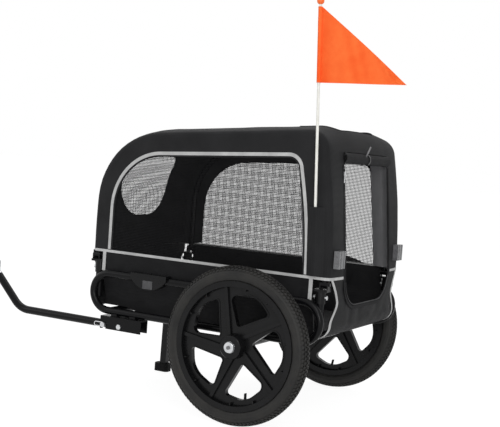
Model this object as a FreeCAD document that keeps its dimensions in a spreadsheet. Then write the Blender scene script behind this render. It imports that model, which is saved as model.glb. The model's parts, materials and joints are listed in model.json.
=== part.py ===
import FreeCAD, Part
import math
import operator
import os
import Sketcher
from FreeCAD import Placement, Rotation, Vector

# Dog bike trailer in millimetres: +X forward, +Y left, +Z up.
# The pieces are made about the point on the ground under the middle of the axle,
# and at the end all are moved along X, to stand centred on the origin.

doc = FreeCAD.newDocument("dog_bike_trailer")
sheet = doc.addObject("Spreadsheet::Sheet", "sizes")
aliases = []
nodes = {}
signs = {"+": operator.add, "-": operator.sub, "*": operator.mul, "/": operator.truediv}


class Length:
    # a number together with the sheet expression that gives it
    def __init__(self, number, text):
        self.number = number
        self.text = text

    def __float__(self):
        return float(self.number)

    def __neg__(self):
        return joined(0, "-", self)

    def __add__(self, other):
        return joined(self, "+", other)

    def __radd__(self, other):
        return joined(other, "+", self)

    def __sub__(self, other):
        return joined(self, "-", other)

    def __rsub__(self, other):
        return joined(other, "-", self)

    def __mul__(self, other):
        return joined(self, "*", other)

    def __rmul__(self, other):
        return joined(other, "*", self)

    def __truediv__(self, other):
        return joined(self, "/", other)


def joined(left, sign, right):
    texts = [side.text if isinstance(side, Length) else repr(side) for side in (left, right)]
    number = signs[sign](float(left), float(right))
    return Length(number, f"({texts[0]} {sign} {texts[1]})")


def size(alias, number, note):
    aliases.append(alias)
    line = len(aliases)
    sheet.set(f"A{line}", note)
    sheet.set(f"B{line}", str(number))
    sheet.setAlias(f"B{line}", alias)
    return Length(number, f"sizes.{alias}")


def height(alias, number, note):
    return wheel_r + size(alias, number, note + ", over the axle")


# Wheels
wheel_d = size("wheel_d", 400, "wheel over the tyre")
wheel_r = wheel_d / 2
track = size("track", 605, "between the wheels' middle planes")
tyre_w = size("tyre_w", 44, "tyre section")
tyre_wall = size("tyre_wall", 4, "tyre carcass and tread")
bead_open = size("bead_open", 40, "half the angle left open at the beads, degrees")
bed_gap = size("bed_gap", 0.4, "between tyre or tube and the rim's bed")
rim_w = size("rim_w", 38, "rim over its flanges")
rim_flange = size("rim_flange", 2.8, "rim flange thickness")
rim_depth = size("rim_depth", 14.5, "rim ring, bed to inner edge")
hub_d = size("hub_d", 58, "hub boss")
hub_out = size("hub_out", 33, "hub face outside the wheel's middle plane")
hub_in = size("hub_in", 30, "hub face inside the wheel's middle plane")
web_t = size("web_t", 12, "spoke web thickness")
spoke_w = size("spoke_w", 34, "spoke width near the rim")
rib_w = size("rib_w", 9, "raised rib on a spoke")
rib_rise = size("rib_rise", 6, "rib height over the web")
gap_tip = size("gap_tip", 46, "point of the gaps between spokes, from the wheel's middle")
gap_inset = size("gap_inset", 20.3, "outer edge of the gaps between spokes, inside the rim ring")
gap_round = size("gap_round", 12, "corner radius of the gaps between spokes")
gap_lip = size("gap_lip", 3, "raised lip round the gaps between spokes")
cross_w = size("cross_w", 3, "small cross rib inside the rim")
cross_rise = size("cross_rise", 5, "cross rib height")
cross_turn = 13
bearing_d = size("bearing_d", 28, "bearing outside")
bearing_w = size("bearing_w", 8, "bearing width")
axle_d = size("axle_d", 12, "wheel axle")
axle_head_d = size("axle_head_d", 27, "axle head")
axle_head_t = size("axle_head_t", 6, "axle head thickness")
axle_in = size("axle_in", 70, "axle length inside the beam")
button_d = size("button_d", 9, "wheel release button")
button_travel = size("button_travel", 3, "release button travel")
valve_d = size("valve_d", 7, "valve stem")
valve_l = size("valve_l", 42, "valve stem length")
fit = size("fit", 0.05, "radial running clearance")
seat = size("seat", 0.3, "gap left at a soft or clamped seat")

# Frame
tube_d = size("tube_d", 20, "frame tube")
tube_wall = size("tube_wall", 1.5, "frame tube wall")
wheel_side = size("wheel_side", 52.5, "side loop's plane inside the wheel's middle plane")
loop_y = track / 2 - wheel_side
loop_front = size("loop_front", 496, "front end of the loops")
loop_rear = size("loop_rear", 208, "rear end of the loops behind the axle")
loop_low = height("loop_low", 15, "underside of the loops")
loop_high = height("loop_high", 136, "top of the loops")
front_cross_x = size("front_cross_x", 425, "front cross tube")
rear_cross_x = size("rear_cross_x", 140, "rear cross tube behind the axle")
beam_d = size("beam_d", 22, "axle beam")
beam_over = size("beam_over", 18, "axle beam past the side loop's plane")
beam_half = loop_y + beam_over
saddle_w = size("saddle_w", 26, "axle saddle width")
saddle_wall = size("saddle_wall", 5, "axle saddle wall")
post_d = size("post_d", 22, "corner post")
post_low = height("post_low", 58, "foot of the corner posts")

# Cabin hinges and hoops
hoop_d = size("hoop_d", 16, "cabin hoop tube")
hoop_bend = size("hoop_bend", 45, "hoop's bend from roof to rear")
hinge_z = height("hinge_z", 172, "height of the hoop hinges")
eye_d = size("eye_d", 18, "hoop foot eye")
eye_w = size("eye_w", 16.8, "hoop foot eye width")
foot_straight = size("foot_straight", 22, "straight foot of a hoop's rear leg")
foot_bend = size("foot_bend", 60, "bend above a hoop's rear foot")
hinge_shift = size("hinge_shift", 10, "hinge fork beside its post, along X")
pin_d = size("pin_d", 6, "hinge pin")
cheek_t = size("cheek_t", 3, "hinge fork cheek")
cheek_gap = size("cheek_gap", 0.2, "between hoop foot and cheek")
sleeve_wall = size("sleeve_wall", 2.5, "bracket sleeve wall")
sleeve_l = size("sleeve_l", 30, "bracket sleeve length")
bolt_d = size("bolt_d", 6, "frame bolt")

# Cabin cloth
cloth = size("cloth", 2, "cloth with its lining")
post_y = loop_y - tube_d / 2 - post_d / 2 - seat
cabin_half = post_y + hoop_d / 2 + seat + cloth
belt_z = height("belt_z", 185, "belt line, where the cabin meets the tub")
seam = size("seam", 0.3, "gap along a seam")
cabin_front = size("cabin_front", 505, "front of the cabin at its edge")
front_bulge = size("front_bulge", 10, "how far the front stands out at the middle")
cabin_rear = size("cabin_rear", 207, "rear of the cabin at its edge, at the belt, behind the axle")
rear_bulge = size("rear_bulge", 8, "how far the rear stands out at the middle")
roof_front_z = height("roof_front_z", 503, "roof line above the front edge")
roof_rise = size("roof_rise", 0.058, "roof slope to the rear, along its edge")
crown = size("crown", 21.5, "roof crown at the middle")
crown_power = size("crown_power", 2.8, "how evenly the crown falls away to the edges")
edge_lean = size("edge_lean", 0.095, "forward lean of the rear edges")
rear_lean = size("rear_lean", 0.098, "forward lean of the rear face")
front_round = size("front_round", 200, "bend from front to roof")
edge_round = size("edge_round", 45, "bend from roof to rear at the edge")
rear_round = size("rear_round", 70, "bend from roof to rear at the middle")
door_side = size("door_side", 89, "cloth beside the rear door")
door_w = 2 * (cabin_half - door_side)
door_low = height("door_low", 102, "bottom of the door opening")
door_high = height("door_high", 500, "top of the door opening")
door_round = size("door_round", 55, "corner radius of the door opening")
hatch_side = size("hatch_side", 94, "cloth beside the roof hatch")
hatch_w = 2 * (cabin_half - hatch_side)
hatch_front = size("hatch_front", 38, "front edge of the hatch behind the axle")
hatch_rear = size("hatch_rear", 152, "rear edge of the hatch behind the axle")
hatch_round = size("hatch_round", 45, "corner radius of the hatch")
pane_side = size("pane_side", 109, "cloth beside the front window")
pane_w = 2 * (cabin_half - pane_side)
pane_low = height("pane_low", 278, "bottom of the front window")
pane_high = height("pane_high", 455, "top of the front window")
pane_round = size("pane_round", 60, "corner radius of the front window")
window_front = size("window_front", 455, "front of the side window's tape")
window_rear = size("window_rear", 149, "rear of the side window's tape at the belt, behind the axle")
window_lean = size("window_lean", 0.12, "forward lean of the side window's rear edge")
window_top = height("window_top", 459, "side window's top above its front edge")
window_rise = size("window_rise", 0.054, "slope of the side window's top")
window_front_round = size("window_front_round", 160, "side window's front bend")
window_rear_round = size("window_rear_round", 40, "side window's rear bend")
tape_w = size("tape_w", 13, "grey tape width")
tape_t = size("tape_t", 0.8, "grey tape thickness")
net_t = size("net_t", 0.8, "window net thickness")
net_pitch = size("net_pitch", 30, "spacing of the net's gaps")
net_strand = size("net_strand", 5, "width of the net's strands")

# Tub
skirt_front = size("skirt_front", 460, "front end of the side skirts")
skirt_rear = size("skirt_rear", 156, "rear end of the side skirts behind the axle")
skirt_knee = height("skirt_knee", 118, "height where the skirts turn inwards")
floor_inset = size("floor_inset", 27, "floor cloth's edge inside the cabin's side")
floor_half = cabin_half - floor_inset
panel_t = size("panel_t", 5, "floor panel thickness")
panel_edge = size("panel_edge", 8, "floor panel inside the floor cloth's edge")
apron_side = size("apron_side", 12, "apron beside the door, at its waist")
apron_flare = size("apron_flare", 43, "apron at the belt, past its waist")
apron_splay = size("apron_splay", 34, "apron at the floor, past its waist")
apron_waist = door_w / 2 + apron_side
apron_top = apron_waist + apron_flare
apron_foot = apron_waist + apron_splay
apron_turn = size("apron_turn", 36, "bend of the aprons into the floor")

# Drawbar and hitch
channel_w = size("channel_w", 34, "hitch bracket width")
channel_t = size("channel_t", 3, "hitch bracket plate")
channel_rear = size("channel_rear", 313, "rear end of the hitch bracket")
channel_front = size("channel_front", 445, "front end of the hitch bracket")
channel_low = height("channel_low", -23, "underside of the hitch bracket")
channel_high = height("channel_high", 12, "top of the hitch bracket")
bar_d = size("bar_d", 22, "drawbar tube")
bar_wall = size("bar_wall", 2, "drawbar tube wall")
bar_z = height("bar_z", -12, "drawbar height")
pivot_x = size("pivot_x", 381, "drawbar pivot bolt")
lock_x = size("lock_x", 433, "drawbar lock pin")
bar_heel = size("bar_heel", 13, "drawbar behind its pivot")
bar_bend_x = size("bar_bend_x", 742, "where the drawbar turns up")
bar_bend = size("bar_bend", 70, "bend radius of the drawbar")
bar_run = size("bar_run", 88, "how far forward and up the drawbar rises")
hitch_bolt_d = size("hitch_bolt_d", 8, "drawbar bolt and pins")
jaw = size("jaw", 34, "coupler block side")
jaw_w = size("jaw_w", 28, "coupler block width")
tongue_t = size("tongue_t", 9.6, "hitch tongue thickness")
tongue_w = size("tongue_w", 20, "hitch tongue width")
tongue_l = size("tongue_l", 32, "hitch pin to the axle plate's edge")
plate_l = size("plate_l", 40, "axle plate length")
plate_high = size("plate_high", 50, "axle plate height")
plate_t = size("plate_t", 5, "axle plate thickness")
axle_hole_d = size("axle_hole_d", 10.5, "hole for the bicycle's rear axle")

# Parking stand
stand_y = size("stand_y", 100, "stand to the right of the middle")
stand_ahead = size("stand_ahead", 34, "stand pivot ahead of the front cross tube")
stand_drop = size("stand_drop", 20, "stand pivot below the cross tube")
stand_w = size("stand_w", 24, "stand leg width")
stand_t = size("stand_t", 20, "stand leg thickness")
stand_pin_d = size("stand_pin_d", 8, "stand pivot pin")
stand_cheek = size("stand_cheek", 4, "stand bracket cheek")
foot_l = size("foot_l", 48, "stand foot length")
foot_w = size("foot_w", 32, "stand foot width")
foot_high = size("foot_high", 24, "stand foot height")
foot_ahead = size("foot_ahead", 9, "stand foot's middle ahead of its pivot")

# Reflectors and flag
holder_x = size("holder_x", 300, "side reflector holder")
holder_l = size("holder_l", 113, "side reflector holder length")
holder_drop = size("holder_drop", 38, "side reflector holder below the upper tube's top")
holder_t = size("holder_t", 25.5, "side reflector holder thickness")
lens_l = size("lens_l", 31, "side reflector lens length")
lens_high = size("lens_high", 22, "side reflector lens height")
lens_t = size("lens_t", 3, "reflector lens thickness")
clip_side = size("clip_side", 33, "rear reflector's middle inside the cabin's side")
clip_y = cabin_half - clip_side
clip_up = size("clip_up", 49, "rear reflector's middle over the belt")
clip_z = belt_z + clip_up
clip_w = size("clip_w", 36, "rear reflector width")
clip_high = size("clip_high", 44, "rear reflector length")
clip_t = size("clip_t", 15, "rear reflector depth")
roll_d = size("roll_d", 32, "rolled-up door")
slider_z = height("slider_z", 440, "zip slider height")
pole_d = size("pole_d", 7, "flag pole")
pole_x = size("pole_x", 170, "foot of the flag pole behind the axle")
pole_lean = size("pole_lean", 0.056, "forward lean of the flag pole")
pole_top = height("pole_top", 860, "top of the flag pole")
pocket_d = size("pocket_d", 14, "flag sleeve")
pocket_top = height("pocket_top", 360, "top of the flag sleeve")
pennant_l = size("pennant_l", 225, "pennant length")
pennant_t = size("pennant_t", 1, "pennant cloth")
tip_d = size("tip_d", 18, "ball on the flag pole")
pennant_drop = size("pennant_drop", 7, "pennant below the ball")
pennant_w = size("pennant_w", 183, "pennant along the pole")
pennant_high = pole_top - tip_d / 2 - pennant_drop
pennant_low = pennant_high - pennant_w

doc.recompute()


def vector(point):
    return Vector(*[float(value) for value in point])


def bind(made, name, value):
    setattr(made, name, float(value))
    if isinstance(value, Length):
        made.setExpression(name, value.text)


def node(name, made):
    made.Label = name
    nodes[name] = made
    return made


def shaped(name, shape):
    made = doc.addObject("Part::Feature", name)
    made.Shape = shape
    return made


def block(name, low, high):
    made = doc.addObject("Part::Box", name)
    for side, start, end in zip(("Length", "Width", "Height"), low, high):
        bind(made, side, end - start)
    made.Placement = Placement(vector(low), Rotation())
    return made


def rod(name, diameter, start, axis, length):
    made = doc.addObject("Part::Cylinder", name)
    bind(made, "Radius", diameter / 2)
    bind(made, "Height", length)
    made.Placement = Placement(vector(start), Rotation(Vector(0, 0, 1), Vector(*axis)))
    return made


def fused(name, *pieces):
    made = doc.addObject("Part::MultiFuse", name)
    made.Shapes = list(pieces)
    return made


def cut(name, base, *tools):
    made = doc.addObject("Part::Cut", name)
    made.Base = base
    made.Tool = tools[0] if len(tools) == 1 else fused(name + "_tools", *tools)
    return made


def group(name, *pieces):
    made = doc.addObject("Part::Compound", name)
    made.Links = list(pieces)
    return made


def rounded(corners, radii, closed=False):
    # edges of a path whose corners are rounded by tangent arcs
    points = [vector(corner) for corner in corners]
    count = len(points)
    bends = []
    for index, (point, radius) in enumerate(zip(points, radii)):
        radius = float(radius)
        if radius == 0:
            bends.append((point, None, point))
            continue
        before = (points[index - 1] - point).normalize()
        after = (points[(index + 1) % count] - point).normalize()
        half = before.getAngle(after) / 2
        reach = radius / math.tan(half)
        inward = (before + after).normalize()
        middle = point + inward * (radius / math.sin(half) - radius)
        bends.append((point + before * reach, middle, point + after * reach))
    edges = []
    for index, (enter, middle, leave) in enumerate(bends):
        last = bends[index - 1][2]
        if (index or closed) and last.distanceToPoint(enter) > 1e-6:
            edges.append(Part.LineSegment(last, enter).toShape())
        if middle:
            edges.append(Part.Arc(enter, middle, leave).toShape())
    return edges


def outline(corners, radii):
    return Part.Wire(Part.__sortEdges__(rounded(corners, radii, closed=True)))


def sweep(name, corners, radii, diameter, closed=False):
    # a round bar along straight runs and arcs
    edges = rounded(corners, radii, closed)
    spine = shaped(name + "_path", Part.Wire(edges))
    start = edges[0].valueAt(edges[0].FirstParameter)
    along = edges[0].tangentAt(edges[0].FirstParameter)
    section = doc.addObject("Part::Circle", name + "_section")
    bind(section, "Radius", diameter / 2)
    section.Placement = Placement(start, Rotation(Vector(0, 0, 1), along))
    made = doc.addObject("Part::Sweep", name)
    made.Sections = [section]
    made.Spine = (spine, [f"Edge{index + 1}" for index in range(len(edges))])
    made.Solid = True
    return made


def body(name):
    return doc.addObject("PartDesign::Body", name)


def sketch_on(owner, role, name, offset=0):
    made = owner.newObject("Sketcher::SketchObject", name)
    plane = next(face for face in owner.Origin.OriginFeatures if face.Role == role)
    made.AttachmentSupport = [(plane, "")]
    made.MapMode = "FlatFace"
    made.AttachmentOffset = Placement(Vector(0, 0, float(offset)), Rotation())
    return made


def pin_point(sketch, edge, end, across, up):
    # ties a point of a sketch to the sketch's origin
    for kind, value, axis in (("DistanceX", across, -2), ("DistanceY", up, -1)):
        number = float(value)
        if abs(number) < 1e-9:
            sketch.addConstraint(Sketcher.Constraint("PointOnObject", edge, end, axis))
            continue
        ends = (-1, 1, edge, end) if number > 0 else (edge, end, -1, 1)
        index = sketch.addConstraint(Sketcher.Constraint(kind, *ends, abs(number)))
        if isinstance(value, Length):
            text = value.text if number > 0 else f"0 - {value.text}"
            sketch.setExpression(f"Constraints[{index}]", text)


def polygon(sketch, corners):
    points = [Vector(float(across), float(up), 0) for across, up in corners]
    first = sketch.GeometryCount
    count = len(points)
    for index in range(count):
        sketch.addGeometry(Part.LineSegment(points[index], points[(index + 1) % count]))
    for index in range(count):
        after = first + (index + 1) % count
        sketch.addConstraint(Sketcher.Constraint("Coincident", first + index, 2, after, 1))
    for index, (across, up) in enumerate(corners):
        pin_point(sketch, first + index, 1, across, up)


def circle(sketch, across, up, diameter):
    spot = Part.Circle(Vector(float(across), float(up), 0), Vector(0, 0, 1), float(diameter) / 2)
    edge = sketch.addGeometry(spot)
    index = sketch.addConstraint(Sketcher.Constraint("Diameter", edge, float(diameter)))
    if isinstance(diameter, Length):
        sketch.setExpression(f"Constraints[{index}]", diameter.text)
    pin_point(sketch, edge, 3, across, up)


def draw(sketch, wire):
    # copies a flat outline into a sketch
    for edge in wire.OrderedEdges:
        first, last = [edge.valueAt(end) for end in (edge.FirstParameter, edge.LastParameter)]
        middle = edge.valueAt((edge.FirstParameter + edge.LastParameter) / 2)
        straight = isinstance(edge.Curve, Part.Line)
        sketch.addGeometry(Part.LineSegment(first, last) if straight else Part.Arc(first, middle, last))


def feature(owner, kind, name, sketch, length=None, both_ways=True):
    made = owner.newObject(f"PartDesign::{kind}", name)
    made.Profile = sketch
    if length is not None:
        bind(made, "Length", length)
    made.SideType = "Symmetric" if both_ways else "One side"
    return made


def turned(owner, name, sketch):
    made = owner.newObject("PartDesign::Revolution", name)
    made.Profile = sketch
    made.ReferenceAxis = (sketch, ["H_Axis"])
    made.Angle = 360
    return made


def repeated(owner, name, originals, count):
    made = owner.newObject("PartDesign::PolarPattern", name)
    made.Originals = originals
    axis = next(line for line in owner.Origin.OriginFeatures if line.Role == "Y_Axis")
    made.Axis = (axis, [""])
    made.Angle = 360
    made.Occurrences = count
    owner.Tip = made
    return made


sides = (("left", 1), ("right", -1))
origin = Vector(0, 0, 0)
tyre_mid = wheel_r - tyre_w / 2
tube_mid_d = tyre_w - 2 * tyre_wall - 2.4
bed_r = tyre_mid - tube_mid_d / 2 - bed_gap
flange_r = bed_r + 1.7
rim_inner = bed_r - rim_depth
gap_reach = rim_inner - gap_inset
spoke_count = 5
spoke_turn = 360 / spoke_count


# Wheels: tyre, tube, moulded rim, bearings, axle and release button

def wheel_place(sign):
    turn = Rotation(Vector(0, 0, 1), 0 if sign > 0 else 180)
    return Placement(vector((0, sign * track / 2, wheel_r)), turn)


def make_tyre(name):
    owner = body(name)
    sketch = sketch_on(owner, "YZ_Plane", name + "_section")
    centre = Vector(0, float(tyre_mid), 0)
    start = math.radians(float(bead_open) - 90)
    end = math.radians(270 - float(bead_open))
    arcs = []
    for diameter in (tyre_w, tyre_w - 2 * tyre_wall):
        ring = Part.Circle(centre, Vector(0, 0, 1), float(diameter) / 2)
        arc = sketch.addGeometry(Part.ArcOfCircle(ring, start, end))
        index = sketch.addConstraint(Sketcher.Constraint("Diameter", arc, float(diameter)))
        sketch.setExpression(f"Constraints[{index}]", diameter.text)
        pin_point(sketch, arc, 3, 0, tyre_mid)
        arcs.append(sketch.Geometry[arc])
    for end_name in ("StartPoint", "EndPoint"):
        outer, inner = [getattr(arc, end_name) for arc in arcs]
        line = sketch.addGeometry(Part.LineSegment(outer, inner))
        which = 1 if end_name == "StartPoint" else 2
        sketch.addConstraint(Sketcher.Constraint("Coincident", line, 1, 0, which))
        sketch.addConstraint(Sketcher.Constraint("Coincident", line, 2, 1, which))
    turned(owner, name + "_ring", sketch)
    return owner


def make_rim(name):
    owner = body(name)
    half = rim_w / 2
    lip = half - rim_flange
    web = web_t / 2
    bore = bearing_d / 2 + fit
    sketch = sketch_on(owner, "YZ_Plane", name + "_section")
    polygon(sketch, [
        (-hub_in, bore), (hub_out, bore), (hub_out, hub_d / 2 - 2), (hub_out - 2, hub_d / 2),
        (web, hub_d / 2 + 3), (web, rim_inner), (half, rim_inner + 2), (half, flange_r),
        (lip, flange_r), (lip, bed_r), (-lip, bed_r), (-lip, flange_r),
        (-half, flange_r), (-half, rim_inner + 2), (-web, rim_inner), (-web, hub_d / 2 + 3),
        (-hub_in, hub_d / 2)])
    turned(owner, name + "_turned", sketch)

    # a rounded gap between two spokes, with its point towards the hub and a raised lip round it
    half_turn = math.radians(spoke_turn / 2)
    reach = float(gap_reach)
    edge_turn = half_turn - math.asin(float(spoke_w) / 2 / reach)
    corner = (reach * math.sin(edge_turn), -reach * math.cos(edge_turn))
    corners = [(0, -float(gap_tip), 0), (-corner[0], corner[1], 0),
               (0, -0.985 * reach / math.cos(edge_turn), 0), (corner[0], corner[1], 0)]
    radius = float(gap_round)
    gap_edge = Part.Wire(rounded(corners, (0.7 * radius, radius, 0.476 * reach, radius), closed=True))
    lip_edge = gap_edge.makeOffset2D(float(gap_lip))
    lip_sketch = sketch_on(owner, "XZ_Plane", name + "_lip")
    draw(lip_sketch, lip_edge)
    lip_pad = feature(owner, "Pad", name + "_lip_pad", lip_sketch, web_t + gap_lip)
    repeated(owner, name + "_lips", [lip_pad], spoke_count)
    gap_sketch = sketch_on(owner, "XZ_Plane", name + "_gap")
    draw(gap_sketch, gap_edge)
    pocket = feature(owner, "Pocket", name + "_gap_cut", gap_sketch)
    pocket.Type = "ThroughAll"
    repeated(owner, name + "_gaps", [pocket], spoke_count)

    # a raised rib along the middle of each spoke, and small cross ribs inside the rim
    ribs = sketch_on(owner, "XZ_Plane", name + "_rib")
    polygon(ribs, [(-rib_w / 2, hub_d / 2 - 4), (rib_w / 2, hub_d / 2 - 4),
                   (rib_w / 2, rim_inner + 2), (-rib_w / 2, rim_inner + 2)])
    rib = feature(owner, "Pad", name + "_rib_pad", ribs, web_t + 2 * rib_rise)
    repeated(owner, name + "_ribs", [rib], spoke_count)
    crosses = sketch_on(owner, "XZ_Plane", name + "_cross")
    for angle in (-cross_turn, cross_turn):
        turn = Rotation(Vector(0, 0, 1), angle)
        low, high = -float(rim_inner) - 2, -float(rim_inner) + float(cross_rise)
        side = float(cross_w) / 2
        spots = [turn.multVec(Vector(across, up, 0)) for across, up in
                 ((-side, low), (side, low), (side, high), (-side, high))]
        draw(crosses, Part.makePolygon(spots + spots[:1]))
    cross = feature(owner, "Pad", name + "_cross_pad", crosses, rim_w - 8)
    repeated(owner, name + "_crosses", [cross], spoke_count)

    hole = sketch_on(owner, "XY_Plane", name + "_valve", -(gap_reach - 12))
    circle(hole, 0, 0, valve_d + 1)
    drilled = feature(owner, "Pocket", name + "_valve_hole", hole, bed_r - gap_reach + 24, False)
    owner.Tip = drilled
    return owner


def make_inner_tube(name):
    ring = doc.addObject("Part::Torus", name + "_ring")
    bind(ring, "Radius1", tyre_mid)
    bind(ring, "Radius2", tube_mid_d / 2)
    ring.Placement = Placement(origin, Rotation(Vector(0, 0, 1), Vector(0, 1, 0)))
    top = tyre_mid - tube_mid_d / 2 + 2
    stem = rod(name + "_stem", valve_d, (0, 0, -top), (0, 0, 1), valve_l + 2)
    return fused(name, ring, stem)


def make_bearings(name):
    rings = []
    for label, start in (("outer", hub_out - bearing_w), ("inner", -hub_in)):
        race = rod(f"{name}_{label}_race", bearing_d, (0, start, 0), (0, 1, 0), bearing_w)
        bore = rod(f"{name}_{label}_bore", axle_d + 2 * fit, (0, start, 0), (0, 1, 0), bearing_w)
        rings.append(cut(f"{name}_{label}", race, bore))
    return group(name, *rings)


head_in = hub_out + 0.4
head_out = head_in + axle_head_t
axle_tip = beam_half - axle_in - track / 2
button_floor = head_out - 9


def make_axle(name):
    owner = body(name)
    groove = axle_tip + 14
    sketch = sketch_on(owner, "YZ_Plane", name + "_section")
    polygon(sketch, [
        (head_out, button_d / 2 + fit), (head_out, axle_head_d / 2 - 1),
        (head_out - 1, axle_head_d / 2), (head_in, axle_head_d / 2), (head_in, axle_d / 2),
        (groove + 3, axle_d / 2), (groove + 3, axle_d / 2 - 1), (groove, axle_d / 2 - 1),
        (groove, axle_d / 2), (axle_tip + 2, axle_d / 2), (axle_tip, axle_d / 2 - 2),
        (axle_tip, 0), (button_floor, 0), (button_floor, button_d / 2 + fit)])
    turned(owner, name + "_turned", sketch)
    return owner


def make_button(name):
    owner = body(name)
    inside = button_floor + button_travel + 0.5
    outside = head_out + button_travel
    sketch = sketch_on(owner, "YZ_Plane", name + "_section")
    polygon(sketch, [(inside, 0), (outside + 0.8, 0), (outside + 0.4, button_d / 2 - 2),
                     (outside, button_d / 2), (inside, button_d / 2)])
    turned(owner, name + "_turned", sketch)
    return owner


wheel_makers = {"tyre": make_tyre, "rim": make_rim, "inner_tube": make_inner_tube,
                "bearings": make_bearings, "axle": make_axle, "release_button": make_button}
for side, sign in sides:
    for piece, make in wheel_makers.items():
        name = f"{side}_{piece}"
        node(name, make(name)).Placement = wheel_place(sign)


# Frame of side loops, cross tubes, axle beam and posts

loop_mid_low = loop_low + tube_d / 2
loop_mid_high = loop_high - tube_d / 2
loop_bend = (loop_mid_high - loop_mid_low) / 2
loop_ends = (-loop_rear + tube_d / 2, loop_front - tube_d / 2)
loop_solids = {}
for side, sign in sides:
    name = f"{side}_side_loop"
    corners = [(loop_ends[0], sign * loop_y, loop_mid_low), (loop_ends[1], sign * loop_y, loop_mid_low),
               (loop_ends[1], sign * loop_y, loop_mid_high), (loop_ends[0], sign * loop_y, loop_mid_high)]
    radii = [float(loop_bend) - 1e-4] * 4
    outside = sweep(name + "_outside", corners, radii, tube_d, closed=True)
    inside = sweep(name + "_inside", corners, radii, tube_d - 2 * tube_wall, closed=True)
    loop_solids[side] = outside
    node(name, cut(name, outside, inside))

for name, x in (("front_cross_tube", front_cross_x), ("rear_cross_tube", -rear_cross_x)):
    start = (x, -loop_y, loop_mid_low)
    outside = rod(name + "_outside", tube_d, start, (0, 1, 0), 2 * loop_y)
    inside = rod(name + "_inside", tube_d - 2 * tube_wall, start, (0, 1, 0), 2 * loop_y)
    node(name, cut(name, outside, inside, loop_solids["left"], loop_solids["right"]))

beam = rod("axle_beam_outside", beam_d, (0, -beam_half, wheel_r), (0, 1, 0), 2 * beam_half)
beam_bore = rod("axle_beam_bore", axle_d + 2 * fit, (0, -beam_half, wheel_r), (0, 1, 0), 2 * beam_half)
node("axle_beam", cut("axle_beam", beam, beam_bore))

saddles = []
for side, sign in sides:
    name = f"{side}_saddle"
    low_y = sign * loop_y - saddle_w / 2
    wrap = rod(name + "_wrap", beam_d + 2 * saddle_wall, (0, low_y, wheel_r), (0, 1, 0), saddle_w)
    reach = beam_d / 2 + saddle_wall
    riser = block(name + "_riser", (-reach, low_y, wheel_r), (reach, low_y + saddle_w, loop_mid_low))
    tube_seat = rod(name + "_tube_seat", tube_d + seat, (-2 * reach, sign * loop_y, loop_mid_low),
                    (1, 0, 0), 4 * reach)
    beam_seat = rod(name + "_beam_seat", beam_d + seat, (0, low_y - 1, wheel_r), (0, 1, 0), saddle_w + 2)
    saddles.append(cut(name, fused(name + "_blank", wrap, riser), tube_seat, beam_seat))
node("axle_brackets", group("axle_brackets", *saddles))

hoop_front = cabin_front - cloth - seat - hoop_d / 2
knee_z = hinge_z + foot_straight
hoop_rear = -cabin_rear + cloth + 2 * seat + hoop_d / 2 + (knee_z - belt_z) * edge_lean + 0.4
front_post_x = hoop_front - hinge_shift
rear_post_x = hoop_rear + hinge_shift
cap_low = hinge_z - hoop_d / 2 - 4 - 6
post_high = cap_low - seat
bolt_z = cap_low - sleeve_l / 2
fork_half = eye_w / 2 + cheek_gap
corner_spots = [("front_left", front_post_x, 1), ("front_right", front_post_x, -1),
                ("rear_left", rear_post_x, 1), ("rear_right", rear_post_x, -1)]

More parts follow.
